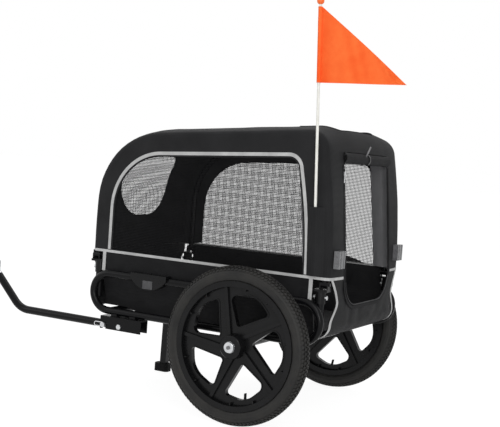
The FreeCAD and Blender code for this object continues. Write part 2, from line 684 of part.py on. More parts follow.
posts = []
brackets = []
hinge_pins = []
bolts = []
hinge_x = {}
for corner, x, sign in corner_spots:
    y = sign * post_y
    outside = rod(corner + "_post_outside", post_d, (x, y, post_low), (0, 0, 1), post_high - post_low)
    inside = rod(corner + "_post_inside", post_d - 2 * tube_wall, (x, y, post_low), (0, 0, 1),
                 post_high - post_low)
    grip = post_d / 2 + sleeve_wall
    hole_start = (x - 2 * grip, y, bolt_z)
    hole = rod(corner + "_bolt_hole", bolt_d + 2 * fit, hole_start, (1, 0, 0), 4 * grip)
    posts.append(cut(corner + "_post", outside, inside, hole))

    # the fork stands outboard on the left and inboard on the right, so that the hoops nest
    outward = (1 if corner.startswith("front") else -1) * sign
    fork_x = x + outward * hinge_shift
    hinge_x[corner] = fork_x
    name = corner + "_bracket"
    sleeve = rod(name + "_sleeve", post_d + 2 * sleeve_wall, (x, y, cap_low - sleeve_l), (0, 0, 1), sleeve_l)
    bore = rod(name + "_bore", post_d + seat, (x, y, cap_low - sleeve_l), (0, 0, 1), sleeve_l)
    reach = hinge_shift + fork_half + cheek_t
    span = (x - grip, x + reach) if outward > 0 else (x - reach, x + grip)
    cap = block(name + "_cap", (span[0], y - grip, cap_low), (span[1], y + grip, cap_low + 6))
    cheeks = []
    for way in (-1, 1):
        inner = fork_x + way * fork_half
        outer = inner + way * cheek_t
        low_x, high_x = (outer, inner) if way < 0 else (inner, outer)
        plate = block(f"{name}_cheek_{way}", (low_x, y - 9, cap_low), (high_x, y + 9, hinge_z))
        eye = rod(f"{name}_eye_{way}", 18, (low_x, y, hinge_z), (1, 0, 0), cheek_t)
        cheeks += [plate, eye]
    pin_start = fork_x - fork_half - cheek_t - 2
    pin_length = 2 * (fork_half + cheek_t + 2)
    pin_hole = rod(name + "_pin_hole", pin_d + 2 * fit, (pin_start, y, hinge_z), (1, 0, 0), pin_length)
    bolt_hole = rod(name + "_bolt_hole", bolt_d + 2 * fit, hole_start, (1, 0, 0), 4 * grip)
    blank = fused(name + "_blank", sleeve, cap, *cheeks)
    brackets.append(cut(name, blank, bore, pin_hole, bolt_hole))

    pin_shank = rod(corner + "_pin_shank", pin_d, (pin_start, y, hinge_z), (1, 0, 0), pin_length)
    pin_heads = [rod(f"{corner}_pin_head_{way}", pin_d + 3,
                     (fork_x + way * (fork_half + cheek_t + 1) - 1, y, hinge_z), (1, 0, 0), 2)
                 for way in (-1, 1)]
    hinge_pins.append(fused(corner + "_pin", pin_shank, *pin_heads))

    bolt_shank = rod(corner + "_bolt_shank", bolt_d, (x - grip - 4, y, bolt_z), (1, 0, 0), 2 * (grip + 4))
    bolt_heads = [rod(f"{corner}_bolt_head_{way}", bolt_d + 5,
                      (x + way * (grip + 2.1) - 2, y, bolt_z), (1, 0, 0), 4) for way in (-1, 1)]
    bolts.append(fused(corner + "_bolt", bolt_shank, *bolt_heads))
node("corner_posts", group("corner_posts", *posts))
node("hinge_brackets", group("hinge_brackets", *brackets))
node("hinge_pins", group("hinge_pins", *hinge_pins))
node("frame_bolts", group("frame_bolts", *bolts))


# Cabin outline: front, roof and rear of the cloth, from edge to middle

def cabin_profile(across, inset):
    # corners and radii of the cabin's section at a share of its half width
    across = abs(across)
    middle = 1 - across ** 4
    wrap = 1 - across ** 6
    lean = float(edge_lean) + wrap * (float(rear_lean) - float(edge_lean))
    front_x = float(cabin_front) + middle * float(front_bulge) - inset
    rear_x = -float(cabin_rear) - wrap * float(rear_bulge) + inset
    slope = float(roof_rise)
    roof_z = float(roof_front_z) + (1 - across ** float(crown_power)) * float(crown) - inset
    base = float(belt_z) + float(seam)

    def roof_at(x):
        return roof_z + (float(cabin_front) - x) * slope

    # where the leaning rear line meets the roof line
    top = (roof_at(rear_x) + slope * lean * base) / (1 + slope * lean)
    top_x = rear_x + (top - base) * lean
    corners = [(front_x, 0, base), (front_x, 0, roof_at(front_x)), (top_x, 0, top), (rear_x, 0, base)]
    bend = float(edge_round) + wrap * (float(rear_round) - float(edge_round))
    return corners, [0, float(front_round) - inset, bend - inset, 0]


def sheet_ring(across, half, outer_inset, inner_inset, part):
    # closed section of the cloth: the outer line, and the inner line back
    rings = [rounded(*cabin_profile(across, inset)) for inset in (outer_inset, inner_inset)]
    chosen = [ring[:4] if part == "roof" else ring[4:] for ring in rings]
    ends = [(ring[0].valueAt(ring[0].FirstParameter), ring[-1].valueAt(ring[-1].LastParameter))
            for ring in chosen]
    if part == "rear":
        drop = Vector(0, 0, -3 * float(seam))
        chosen = []
        for index, (first, last) in enumerate(ends):
            ends[index] = (first + drop, last)
            chosen.append([Part.LineSegment(*ends[index]).toShape()])
    tail = Part.LineSegment(ends[0][1], ends[1][1]).toShape()
    head = Part.LineSegment(ends[1][0], ends[0][0]).toShape()
    ring = Part.Wire(chosen[0] + [tail] + chosen[1][::-1] + [head])
    return ring.translated(Vector(0, across * float(half), 0))


stations = (-1, -0.82, -0.45, 0, 0.45, 0.82, 1)


def cloth_sheet(outer_inset, inner_inset, part):
    rings = [sheet_ring(across, cabin_half, outer_inset, inner_inset, part) for across in stations]
    return Part.makeLoft(rings, True, False)


def prism(corners, radii, along):
    face = Part.Face(outline(corners, radii))
    return face.extrude(vector(along))


def door_gap(grow=0):
    half = float(door_w) / 2 + grow
    low, high = float(door_low) - grow, float(door_high) + grow
    x = -float(cabin_rear) - 80
    corners = [(x, -half, low), (x, half, low), (x, half, high), (x, -half, high)]
    bend = float(door_round)
    return prism(corners, (bend, bend, 4, 4), (float(cabin_rear), 0, 0))


def pane_gap(shrink=0):
    half = float(pane_w) / 2 - shrink
    low, high = float(pane_low) + shrink, float(pane_high) - shrink
    x = float(cabin_front) - 130
    corners = [(x, -half, low), (x, half, low), (x, half, high), (x, -half, high)]
    bend = float(pane_round)
    return prism(corners, (bend, bend, bend / 2, bend / 2), (float(front_round), 0, 0))


def hatch_gap():
    half = float(hatch_w) / 2
    low = float(roof_front_z)
    corners = [(-hatch_rear, -half, low), (-hatch_front, -half, low),
               (-hatch_front, half, low), (-hatch_rear, half, low)]
    bend = float(hatch_round)
    return prism(corners, [bend] * 4, (0, 0, float(front_round)))


thick = float(cloth)
roof_cloth = cloth_sheet(0, thick, "roof")
node("roof_cover", shaped("roof_cover", roof_cloth.cut([door_gap(), pane_gap(), hatch_gap()])))
rear_cloth = cloth_sheet(0, thick, "rear")
node("rear_cover", shaped("rear_cover", rear_cloth.cut(door_gap())))
net_inset = (thick - float(net_t)) / 2
front_net = cloth_sheet(net_inset, net_inset + float(net_t), "roof")
node("front_window_mesh", shaped("front_window_mesh", front_net.common(pane_gap(float(seat)))))


# Hoops that hold the cabin cloth up, each hinged at its two feet

def hoop_corners(front_x, rear_x, inset, base):
    # the rear leg stands straight at its foot and then leans with the cloth
    corners, radii = cabin_profile(1, inset)
    slope = float(roof_rise)
    lean = float(edge_lean)
    knee = float(knee_z)
    top_front = corners[1][2] + (corners[1][0] - front_x) * slope
    start = corners[2][2] + (corners[2][0] - rear_x) * slope
    top = (start + slope * lean * knee) / (1 + slope * lean)
    flat = [(front_x, base), (front_x, top_front), (rear_x + (top - knee) * lean, top),
            (rear_x, knee), (rear_x, base)]
    return flat, radii[:2] + [float(hoop_bend), float(foot_bend), 0]


hoop_inset = float(cloth + seat + hoop_d / 2)
for side, sign in sides:
    name = f"{side}_hoop"
    y = float(sign * post_y)
    feet = [float(hinge_x[f"{end}_{side}"]) for end in ("front", "rear")]
    sweeps = []
    for label, diameter, rise in (("outside", hoop_d, 0),
                                  ("inside", hoop_d - 2 * tube_wall, float(eye_d) / 2)):
        flat, radii = hoop_corners(*feet, hoop_inset, float(hinge_z) + rise)
        sweeps.append(sweep(f"{name}_{label}", [(x, y, z) for x, z in flat], radii, diameter))
    eyes = [rod(f"{name}_eye_{index}", eye_d, (x - eye_w / 2, y, hinge_z), (1, 0, 0), eye_w)
            for index, x in enumerate(feet)]
    holes = [rod(f"{name}_hole_{index}", pin_d + 2 * fit, (x - eye_w, y, hinge_z), (1, 0, 0), 2 * eye_w)
             for index, x in enumerate(feet)]
    node(name, cut(name, fused(name + "_blank", sweeps[0], *eyes), sweeps[1], *holes))


# Side covers with their windows, nets and tape

def window_outline(grow, y):
    # the side window inside its tape, or grown by a margin
    slope = float(window_rise)
    lean = float(window_lean)
    base = float(belt_z) + float(tape_w) / 2
    front_x = float(window_front) - float(tape_w) + grow
    rear_x = -float(window_rear) + float(tape_w) - grow
    top_z = float(window_top) - float(tape_w) + grow
    start = top_z + (front_x - rear_x) * slope
    top = (start + slope * lean * base) / (1 + slope * lean)
    corners = [(front_x, y, base), (front_x, y, top_z), (rear_x + (top - base) * lean, y, top),
               (rear_x, y, base)]
    return outline(corners, (0, float(window_front_round) - float(tape_w) + grow,
                             float(window_rear_round) - float(tape_w) + grow, 0))


def net_gaps(area, y):
    # square gaps of the net that lie well inside its edge
    pitch = float(net_pitch)
    hole = pitch - float(net_strand)
    bound = area.BoundBox
    gaps = []
    for column in range(int(bound.XLength / pitch) + 1):
        for line in range(int(bound.ZLength / pitch) + 1):
            x = bound.XMin + float(net_strand) + column * pitch
            z = bound.ZMin + float(net_strand) + line * pitch
            square = [Vector(x + across, y, z + up)
                      for across, up in ((0, 0), (hole, 0), (hole, hole), (0, hole))]
            if all(area.isInside(corner, 0.01, True) for corner in square):
                gaps.append(Part.makePolygon(square + square[:1]))
    return gaps


window_tapes = []
for side, sign in sides:
    inner_y = sign * float(cabin_half - cloth)
    outer_y = sign * float(cabin_half)
    corners, radii = cabin_profile(1, thick + float(seam))
    panel = outline([(x, inner_y, z) for x, y, z in corners], radii)
    hole = window_outline(0, inner_y)
    plate = Part.Face(panel).cut(Part.Face(hole))
    node(f"{side}_cover", shaped(f"{side}_cover", plate.extrude(Vector(0, outer_y - inner_y, 0)).Solids[0]))

    ring = Part.Face(window_outline(float(tape_w), outer_y)).cut(Part.Face(window_outline(0, outer_y)))
    tape = ring.extrude(Vector(0, sign * float(tape_t), 0))
    window_tapes.append(shaped(f"{side}_window_tape", tape.Solids[0]))

    net_y = inner_y + sign * net_inset
    area = Part.Face(window_outline(-float(seat), net_y))
    gaps = net_gaps(area, net_y)
    net = Part.Face([area.OuterWire] + gaps)
    net.validate()
    solid = net.extrude(Vector(0, sign * float(net_t), 0))
    node(f"{side}_window_mesh", shaped(f"{side}_window_mesh", solid.Solids[0]))
    print(side, "window net gaps:", len(gaps))
node("window_tapes", group("window_tapes", *window_tapes))


# Tub: floor, skirts and aprons of cloth round a stiff floor panel

floor_low = loop_mid_low + tube_d / 2 + seat
floor_rear = -cabin_rear + apron_turn
floor_front = cabin_front - apron_turn
node("floor_cloth", block("floor_cloth", (floor_rear + seam, -floor_half, floor_low),
                          (floor_front - seam, floor_half, floor_low + cloth)))
panel_low = floor_low + cloth + seat
node("floor_panel", block("floor_panel", (floor_rear + panel_edge, -floor_half + panel_edge, panel_low),
                          (floor_front - panel_edge, floor_half - panel_edge, panel_low + panel_t)))

tub_top = float(belt_z - seam)
tub_low = float(floor_low)
for side, sign in sides:
    top_y = float(cabin_half)
    line = [(top_y, tub_top), (top_y, float(skirt_knee)), (float(floor_half + cloth + seam), tub_low)]
    back = [(y - thick, z) for y, z in line[::-1]]
    corners = [(-float(skirt_rear), sign * y, z) for y, z in line + back]
    skirt = prism(corners, [0] * len(corners), (skirt_front + skirt_rear, 0, 0))
    node(f"{side}_skirt", shaped(f"{side}_skirt", skirt))


def apron(x, way):
    # cloth that hangs from the belt and turns under into the floor, waisted at its sides
    bend = float(apron_turn)
    end_x = x - way * bend
    inner_x = x - way * thick
    inner_z = tub_low + thick
    path = rounded([(x, 0, tub_top), (x, 0, tub_low), (end_x, 0, tub_low)], (0, bend - 0.01, 0))
    back = rounded([(inner_x, 0, tub_top), (inner_x, 0, inner_z), (end_x, 0, inner_z)],
                   (0, bend - thick - 0.01, 0))
    ends = [(edges[0].valueAt(edges[0].FirstParameter), edges[-1].valueAt(edges[-1].LastParameter))
            for edges in (path, back)]
    tail = Part.LineSegment(ends[0][1], ends[1][1]).toShape()
    head = Part.LineSegment(ends[1][0], ends[0][0]).toShape()
    wide = float(loop_y)
    section = Part.Face(Part.Wire(path + [tail] + back[::-1] + [head]))
    hung = section.translated(Vector(0, -wide, 0)).extrude(Vector(0, 2 * wide, 0))
    start = x - 2 * bend
    top, waist, foot = float(apron_top), float(apron_waist), float(apron_foot)
    middle_z = (tub_top + tub_low) / 2
    spots = ((top, tub_top + 1), (waist, middle_z), (foot, tub_low - 1))
    right = Part.Arc(*[Vector(start, -y, z) for y, z in spots])
    left = Part.Arc(*[Vector(start, y, z) for y, z in spots[::-1]])
    bottom = Part.LineSegment(right.EndPoint, left.StartPoint)
    upper = Part.LineSegment(left.EndPoint, right.StartPoint)
    shape = Part.Face(Part.Wire([right.toShape(), bottom.toShape(), left.toShape(), upper.toShape()]))
    return hung.common(shape.extrude(Vector(4 * bend, 0, 0)))


rear_apron = apron(-float(cabin_rear) - float(rear_bulge), -1).cut(door_gap())
node("rear_apron", shaped("rear_apron", rear_apron.Solids[0]))
node("front_apron", shaped("front_apron", apron(float(cabin_front), 1)))

# Grey tape round the belt: both sides, the front, and short ends at the rear corners
belt_low = belt_z - tape_w / 2
belt_high = belt_z + tape_w / 2
strips = []
for side, sign in sides:
    near, far = cabin_half, cabin_half + tape_t
    low_y, high_y = (near, far) if sign > 0 else (-far, -near)
    strips.append(block(f"{side}_belt", (-cabin_rear + 8, low_y, belt_low),
                        (cabin_front - 8, high_y, belt_high)))
node("belt_tape", group("belt_tape", *strips))


# Rear door roll, zip slider and rear reflectors

def rear_surface_x(y, z):
    # outer face of the rear cloth
    across = y / float(cabin_half)
    corners, radii = cabin_profile(across, 0)
    low, high = corners[3], corners[2]
    return low[0] + (z - low[2]) * (high[0] - low[0]) / (high[2] - low[2])


roll_z = door_high - roll_d / 2 - seat
roll_l = door_w - 10
roll_x = rear_surface_x(0, float(roll_z)) + 4
roll_core = rod("door_roll_core", roll_d, (roll_x, -(roll_l - 16) / 2, roll_z), (0, 1, 0), roll_l - 16)
roll_whole = rod("door_roll_whole", roll_d - 8, (roll_x, -roll_l / 2, roll_z), (0, 1, 0), roll_l)
node("door_roll", fused("door_roll", roll_core, roll_whole))

slider_y = door_w / 2 + 6
slider_x = rear_surface_x(float(slider_y), float(slider_z)) - float(seat)
slider_box = block("zip_slider_box", (slider_x - 4, slider_y - 4, slider_z),
                   (slider_x, slider_y + 4, slider_z + 10))
slider_pull = block("zip_slider_pull", (slider_x - 4, slider_y - 2.5, slider_z - 18),
                    (slider_x - 2, slider_y + 2.5, slider_z + 2))
node("zip_slider", fused("zip_slider", slider_box, slider_pull))

clips = []
for side, sign in sides:
    y = sign * clip_y
    spots = [rear_surface_x(float(y) + way * float(clip_w) / 2, float(clip_z) + tilt * float(clip_high) / 2)
             for way in (-1, 1) for tilt in (-1, 1)]
    back_x = min(spots) - float(seat)
    name = f"{side}_clip"
    whole = block(name + "_block", (back_x - clip_t, y - clip_w / 2, clip_z - clip_high / 2),
                  (back_x, y + clip_w / 2, clip_z + clip_high / 2))
    grooves = [rod(f"{name}_groove_{way}", 6, (back_x - clip_t, y + way * clip_w / 4, clip_z - clip_high),
                   (0, 0, 1), 2 * clip_high) for way in (-1, 1)]
    clips.append(cut(name, whole, *grooves))
node("rear_reflectors", group("rear_reflectors", *clips))


# Side reflectors in their clip-on holders

lenses = []
for side, sign in sides:
    name = f"{side}_reflector_holder"
    y = sign * loop_y
    top = float(loop_high) + 4
    low = float(loop_high - holder_drop)
    half = float(holder_l) / 2
    x = float(holder_x)
    inner_y = y - sign * tube_d / 2
    face_y = inner_y + sign * holder_t
    start_y = min(float(inner_y), float(face_y))
    lip_z = top - 14
    arc = Part.Arc(Vector(x - half, start_y, lip_z), Vector(x, start_y, low), Vector(x + half, start_y, lip_z))
    rim = [Vector(x + across, start_y, z)
           for across, z in ((half, lip_z), (half, top), (-half, top), (-half, lip_z))]
    edges = [arc.toShape()] + [Part.LineSegment(a, b).toShape() for a, b in zip(rim, rim[1:])]
    bowl = shaped(name + "_bowl", Part.Face(Part.Wire(edges)).extrude(Vector(0, float(holder_t), 0)))
    bore = rod(name + "_bore", tube_d + seat, (x - 2 * half, y, loop_mid_high), (1, 0, 0), 4 * half)
    lens_low = low + 3
    spot = (face_y - lens_t, face_y + 1) if sign > 0 else (face_y - 1, face_y + lens_t)
    pocket = block(name + "_pocket", (x - (lens_l / 2 + seat), spot[0], lens_low - seat),
                   (x + (lens_l / 2 + seat), spot[1], lens_low + lens_high + seat))
    node(name, cut(name, bowl, bore, pocket))
    lens = (face_y - lens_t + seat, face_y + 1) if sign > 0 else (face_y - 1, face_y + lens_t - seat)
    lenses.append(block(f"{side}_lens", (x - lens_l / 2, lens[0], lens_low),
                        (x + lens_l / 2, lens[1], lens_low + lens_high)))
node("side_reflectors", group("side_reflectors", *lenses))


# Hitch bracket under the left loop, drawbar, coupler and hitch

name = "hitch_bracket"
bar_y = loop_y
channel = block(name + "_outside", (channel_rear, bar_y - channel_w / 2, channel_low),
                (channel_front, bar_y + channel_w / 2, channel_high))
room = block(name + "_room", (channel_rear - 1, bar_y - channel_w / 2 + channel_t, channel_low - 1),
             (channel_front + 1, bar_y + channel_w / 2 - channel_t, channel_high - channel_t))
mounts = [block(f"{name}_mount_{index}", (x, bar_y - 9, channel_high - 1),
                (x + 18, bar_y + 9, loop_low + 4))
          for index, x in enumerate((channel_rear + 25, channel_rear + 85))]
tube_seat = rod(name + "_seat", tube_d + seat, (channel_rear - 10, bar_y, loop_mid_low), (1, 0, 0),
                channel_front - channel_rear)
cross_start = bar_y - channel_w
pivot_hole = rod(name + "_pivot", hitch_bolt_d + 2 * fit, (pivot_x, cross_start, bar_z),
                 (0, 1, 0), 2 * channel_w)
lock_eye = rod(name + "_lock_eye", hitch_bolt_d + 2 * seat, (lock_x, cross_start, bar_z),
               (0, 1, 0), 2 * channel_w)
lock_half = hitch_bolt_d / 2 + seat
lock_arm = float(lock_x - pivot_x)
lock_drop = float(bar_z - channel_low + hitch_bolt_d / 2)
lock_sway = lock_arm - math.sqrt(lock_arm ** 2 - lock_drop ** 2) + float(seat)
lock_slot = block(name + "_lock_slot", (lock_x - lock_half - lock_sway, cross_start, channel_low - 1),
                  (lock_x + lock_half, cross_start + 2 * channel_w, bar_z))
channel_blank = fused(name + "_blank", channel, *mounts)
node(name, cut(name, channel_blank, room, tube_seat, pivot_hole, lock_eye, lock_slot))

bar_start = pivot_x - bar_heel
bar_end = (bar_bend_x + bar_run, bar_y, bar_z + bar_run)
bar_corners = [(bar_start, bar_y, bar_z), (bar_bend_x, bar_y, bar_z), bar_end]
bar_outside = sweep("drawbar_outside", bar_corners, (0, bar_bend, 0), bar_d)
bar_inside = sweep("drawbar_inside", bar_corners, (0, bar_bend, 0), bar_d - 2 * bar_wall)
bar_holes = [rod(f"drawbar_hole_{index}", hitch_bolt_d + 2 * fit, (x, cross_start, bar_z),
                 (0, 1, 0), 2 * channel_w) for index, x in enumerate((pivot_x, lock_x))]
node("drawbar", cut("drawbar", bar_outside, bar_inside, *bar_holes))


def hexagon(name, across_flats, start, axis, length):
    made = doc.addObject("Part::Prism", name)
    made.Polygon = 6
    bind(made, "Circumradius", across_flats / math.sqrt(3))
    bind(made, "Height", length)
    made.Placement = Placement(vector(start), Rotation(Vector(0, 0, 1), Vector(*axis)))
    return made


outer_face = bar_y + channel_w / 2
inner_face = bar_y - channel_w / 2
bolt_shank = rod("drawbar_bolt_shank", hitch_bolt_d, (pivot_x, inner_face - 8, bar_z),
                 (0, 1, 0), channel_w + 10)
bolt_head = hexagon("drawbar_bolt_head", hitch_bolt_d + 5, (pivot_x, outer_face, bar_z), (0, 1, 0), 5)
bolt_nut = hexagon("drawbar_bolt_nut", hitch_bolt_d + 5, (pivot_x, inner_face - 6.5, bar_z), (0, 1, 0), 6.5)
node("drawbar_bolt", fused("drawbar_bolt", bolt_shank, bolt_head, bolt_nut))

wire_d = size("wire_d", 2.4, "lock clip wire")
clip_reach = size("clip_reach", 30, "lock clip length")
doc.recompute()
head_start = outer_face + wire_d + 2 * seat
lock_shank = rod("lock_pin_shank", hitch_bolt_d, (lock_x, inner_face - 6, bar_z), (0, 1, 0), channel_w + 12)
lock_head = rod("lock_pin_head", hitch_bolt_d + 6, (lock_x, head_start, bar_z), (0, 1, 0), 4)
lock_bolt = fused("lock_pin_bolt", lock_shank, lock_head)
wire_y = outer_face + wire_d / 2 + seat
wire_half = hitch_bolt_d / 2 + wire_d / 2 + seat
wire_ends = (lock_x - wire_half, lock_x + clip_reach)
wire_corners = [(wire_ends[0], wire_y, bar_z - wire_half), (wire_ends[1], wire_y, bar_z - wire_half),
                (wire_ends[1], wire_y, bar_z + wire_half), (wire_ends[0], wire_y, bar_z + wire_half)]
wire_bends = [float(wire_half) - 1e-4] * 4
lock_clip = sweep("lock_pin_clip", wire_corners, wire_bends, wire_d, closed=True)
node("lock_pin", group("lock_pin", lock_bolt, lock_clip))

slant = math.sqrt(0.5)
collar_l = 14
shank_l = 25
shank_start = tuple(float(value) - way * shank_l * slant for value, way in zip(bar_end, (1, 0, 1)))
coupler_shank = rod("coupler_shank", bar_d - 2 * bar_wall - 2 * fit, shank_start,
                    (1, 0, 1), shank_l + collar_l + 6)
coupler_collar = rod("coupler_collar", bar_d, bar_end, (1, 0, 1), collar_l + 6)
jaw_x = bar_end[0] + collar_l * slant
jaw_z = bar_end[2] + collar_l * slant - 4
jaw_block = block("coupler_jaw", (jaw_x, bar_y - jaw_w / 2, jaw_z),
                  (jaw_x + jaw, bar_y + jaw_w / 2, jaw_z + jaw))
gap_low = jaw_z + jaw / 2 - tongue_t / 2
hitch_x = jaw_x + jaw - 12
jaw_gap = block("coupler_gap", (hitch_x - tongue_w / 2 - 2, bar_y - jaw_w, gap_low - 0.2),
                (jaw_x + jaw + 1, bar_y + jaw_w, gap_low + tongue_t + 0.2))
jaw_hole = rod("coupler_hole", hitch_bolt_d + 2 * fit, (hitch_x, bar_y, jaw_z - 1), (0, 0, 1), jaw + 2)
coupler_blank = fused("coupler_blank", coupler_shank, coupler_collar, jaw_block)
node("coupler", cut("coupler", coupler_blank, jaw_gap, jaw_hole))

tongue = block("hitch_adapter_tongue", (hitch_x, bar_y - tongue_w / 2, gap_low),
               (hitch_x + tongue_l + 8, bar_y + tongue_w / 2, gap_low + tongue_t))
nose = rod("hitch_adapter_nose", tongue_w, (hitch_x, bar_y, gap_low), (0, 0, 1), tongue_t)
plate_x = hitch_x + tongue_l
plate_low = gap_low - 6
plate_top = plate_low + plate_high
axle_plate = block("hitch_adapter_plate", (plate_x, bar_y - plate_t / 2, plate_low),
                   (plate_x + plate_l, bar_y + plate_t / 2, plate_top))
pin_hole = rod("hitch_adapter_pin_hole", hitch_bolt_d + 2 * fit, (hitch_x, bar_y, gap_low - 1),
               (0, 0, 1), tongue_t + 2)
axle_spot = (plate_x + plate_l / 2 + 4, bar_y - plate_t, plate_top - plate_l / 2)
axle_hole = rod("hitch_adapter_axle_hole", axle_hole_d, axle_spot, (0, 1, 0), 2 * plate_t)
adapter_blank = fused("hitch_adapter_blank", tongue, nose, axle_plate)
node("hitch_adapter", cut("hitch_adapter", adapter_blank, pin_hole, axle_hole))

pin_top = jaw_z + jaw + seat
pin_shank = rod("hitch_pin_shank", hitch_bolt_d, (hitch_x, bar_y, jaw_z - 6), (0, 0, 1), jaw + 7)
pin_head = rod("hitch_pin_head", hitch_bolt_d + 8, (hitch_x, bar_y, pin_top), (0, 0, 1), 5)
node("hitch_pin", fused("hitch_pin", pin_shank, pin_head))


# Parking stand under the front cross tube

pivot = (front_cross_x + stand_ahead, -stand_y, loop_mid_low - stand_drop)
fork_w = stand_t + 2 * (stand_cheek + cheek_gap)
wrap_d = tube_d + 2 * stand_cheek
low_y = -stand_y - fork_w / 2


def slot_shape(start, start_d, end, end_d, y, width):
    # two round ends and the straight sides that touch both
    a, b = [Vector(float(x), float(y), float(z)) for x, z in (start, end)]
    ra, rb = float(start_d) / 2, float(end_d) / 2
    line = b - a
    lean = math.asin((ra - rb) / line.Length)
    base = math.atan2(line.z, line.x)
    spots = []
    for centre, radius, way in ((a, ra, 1), (b, rb, 1), (b, rb, -1), (a, ra, -1)):
        angle = base + way * (math.pi / 2 - lean)
        spots.append(centre + Vector(math.cos(angle), 0, math.sin(angle)) * radius)
    along = Vector(math.cos(base), 0, math.sin(base))
    curves = [Part.LineSegment(spots[0], spots[1]), Part.Arc(spots[1], b + along * rb, spots[2]),
              Part.LineSegment(spots[2], spots[3]), Part.Arc(spots[3], a - along * ra, spots[0])]
    edge = Part.Wire([curve.toShape() for curve in curves])
    return Part.Face(edge).extrude(Vector(0, float(width), 0))


pivot_spot = (pivot[0], pivot[2])
cheek_shape = slot_shape((front_cross_x, loop_mid_low), wrap_d, pivot_spot, stand_w, low_y, fork_w)
cheeks = shaped("stand_bracket_blank", cheek_shape)
slot_low, slot_high = low_y + stand_cheek, low_y + fork_w - stand_cheek
fork_room = block("stand_bracket_room", (front_cross_x + tube_d / 2 + 1, slot_low, pivot[2] - stand_w),
                  (pivot[0] + stand_w, slot_high, pivot[2] + stand_w))
swing_room = block("stand_bracket_swing", (front_cross_x - wrap_d, slot_low, pivot[2] - stand_w),
                   (pivot[0], slot_high, loop_low - stand_cheek - 1))
tube_seat = rod("stand_bracket_seat", tube_d + seat, (front_cross_x, low_y - 1, loop_mid_low),
                (0, 1, 0), fork_w + 2)
pin_hole = rod("stand_bracket_hole", stand_pin_d + 2 * fit, (pivot[0], low_y - 1, pivot[2]),
               (0, 1, 0), fork_w + 2)
flat_top = block("stand_bracket_top", (front_cross_x - wrap_d, low_y - 1, floor_low - seat - 1),
                 (pivot[0] + wrap_d, low_y + fork_w + 1, floor_low + wrap_d))
node("stand_bracket", cut("stand_bracket", cheeks, fork_room, swing_room, flat_top, tube_seat, pin_hole))

pin_shank = rod("stand_pin_shank", stand_pin_d, (pivot[0], low_y - 3, pivot[2]), (0, 1, 0), fork_w + 6)
pin_heads = [rod(f"stand_pin_head_{index}", stand_pin_d + 5, (pivot[0], y, pivot[2]), (0, 1, 0), 3)
             for index, y in enumerate((low_y - 3, low_y + fork_w))]
node("stand_pin", fused("stand_pin", pin_shank, *pin_heads))

ankle = (pivot[0] + foot_ahead / 2, foot_high)
leg_y = -stand_y - stand_t / 2
leg_shape = slot_shape(pivot_spot, stand_w, ankle, stand_w - 4, leg_y, stand_t)
leg_blank = shaped("stand_leg_blank", leg_shape)
leg_hole = rod("stand_leg_hole", stand_pin_d + 2 * fit, (pivot[0], leg_y - 1, pivot[2]),
               (0, 1, 0), stand_t + 2)
node("stand_leg", cut("stand_leg", leg_blank, leg_hole))

foot_x = pivot[0] + foot_ahead
foot_block = block("stand_foot_block", (foot_x - foot_l / 2, -stand_y - foot_w / 2, 0 * foot_high),
                   (foot_x + foot_l / 2, -stand_y + foot_w / 2, foot_high))
foot_soft = doc.addObject("Part::Fillet", "stand_foot_soft")
foot_soft.Base = foot_block
doc.recompute()
upright = [index + 1 for index, edge in enumerate(foot_block.Shape.Edges) if abs(edge.tangentAt(0).z) > 0.9]
foot_soft.Edges = [(index, float(foot_w) / 3, float(foot_w) / 3) for index in upright]
room_shape = slot_shape(pivot_spot, stand_w + 2 * fit, ankle, stand_w - 4 + 2 * fit,
                        leg_y - fit, stand_t + 2 * fit)
node("stand_foot", cut("stand_foot", foot_soft, shaped("stand_foot_room", room_shape)))


# Flag: cloth sleeve, pole, pennant and ball

pole_axis = (float(pole_lean), 0, 1)
pole_y = cabin_half + pocket_d / 2 + seat
pole_low = belt_high + 4
rise = math.sqrt(1 + float(pole_lean) ** 2)


def pole_point(z):
    return (-pole_x + (z - pole_low) * pole_lean, pole_y, z)


sleeve_l = (pocket_top - pole_low + 2) * rise
sleeve_out = rod("flag_sleeve_outside", pocket_d, pole_point(pole_low - 2), pole_axis, sleeve_l)
sleeve_in = rod("flag_sleeve_inside", pole_d + 2 * seat, pole_point(pole_low - seat), pole_axis, sleeve_l)
node("flag_sleeve", cut("flag_sleeve", sleeve_out, sleeve_in))
node("flag_pole", rod("flag_pole", pole_d, pole_point(pole_low), pole_axis, (pole_top - pole_low) * rise))

ball = doc.addObject("Part::Sphere", "flag_tip_ball")
bind(ball, "Radius", tip_d / 2)
ball.Placement = Placement(vector(pole_point(pole_top - 2)), Rotation())
ball_hole = rod("flag_tip_hole", pole_d + 2 * fit, pole_point(pole_top - 30), pole_axis, 30 * rise)
node("flag_tip", cut("flag_tip", ball, ball_hole))

hem_d = pole_d + 4
hem = rod("flag_pennant_hem", hem_d, pole_point(pennant_low), pole_axis,
          (pennant_high - pennant_low) * rise)
hem_hole = rod("flag_pennant_hole", pole_d + 2 * fit, pole_point(pennant_low - 2), pole_axis,
               (pennant_high - pennant_low + 4) * rise)
low_spot, high_spot = [vector(pole_point(z)) for z in (pennant_low, pennant_high)]
far_spot = low_spot - Vector(float(pennant_l), 0, 0)
side_step = Vector(0, float(pennant_t), 0)
fly_edge = [spot - side_step / 2 for spot in (low_spot, high_spot, far_spot, low_spot)]
fly = shaped("flag_pennant_fly", Part.Face(Part.makePolygon(fly_edge)).extrude(side_step))
node("flag_pennant", cut("flag_pennant", fused("flag_pennant_blank", hem, fly), hem_hole))


# Check every object, centre the trailer on the origin along X, and write the pieces

doc.recompute()
for made in doc.Objects:
    if "Invalid" in made.State or "Error" in made.State:
        raise RuntimeError(f"{made.Name} failed: {made.State}")

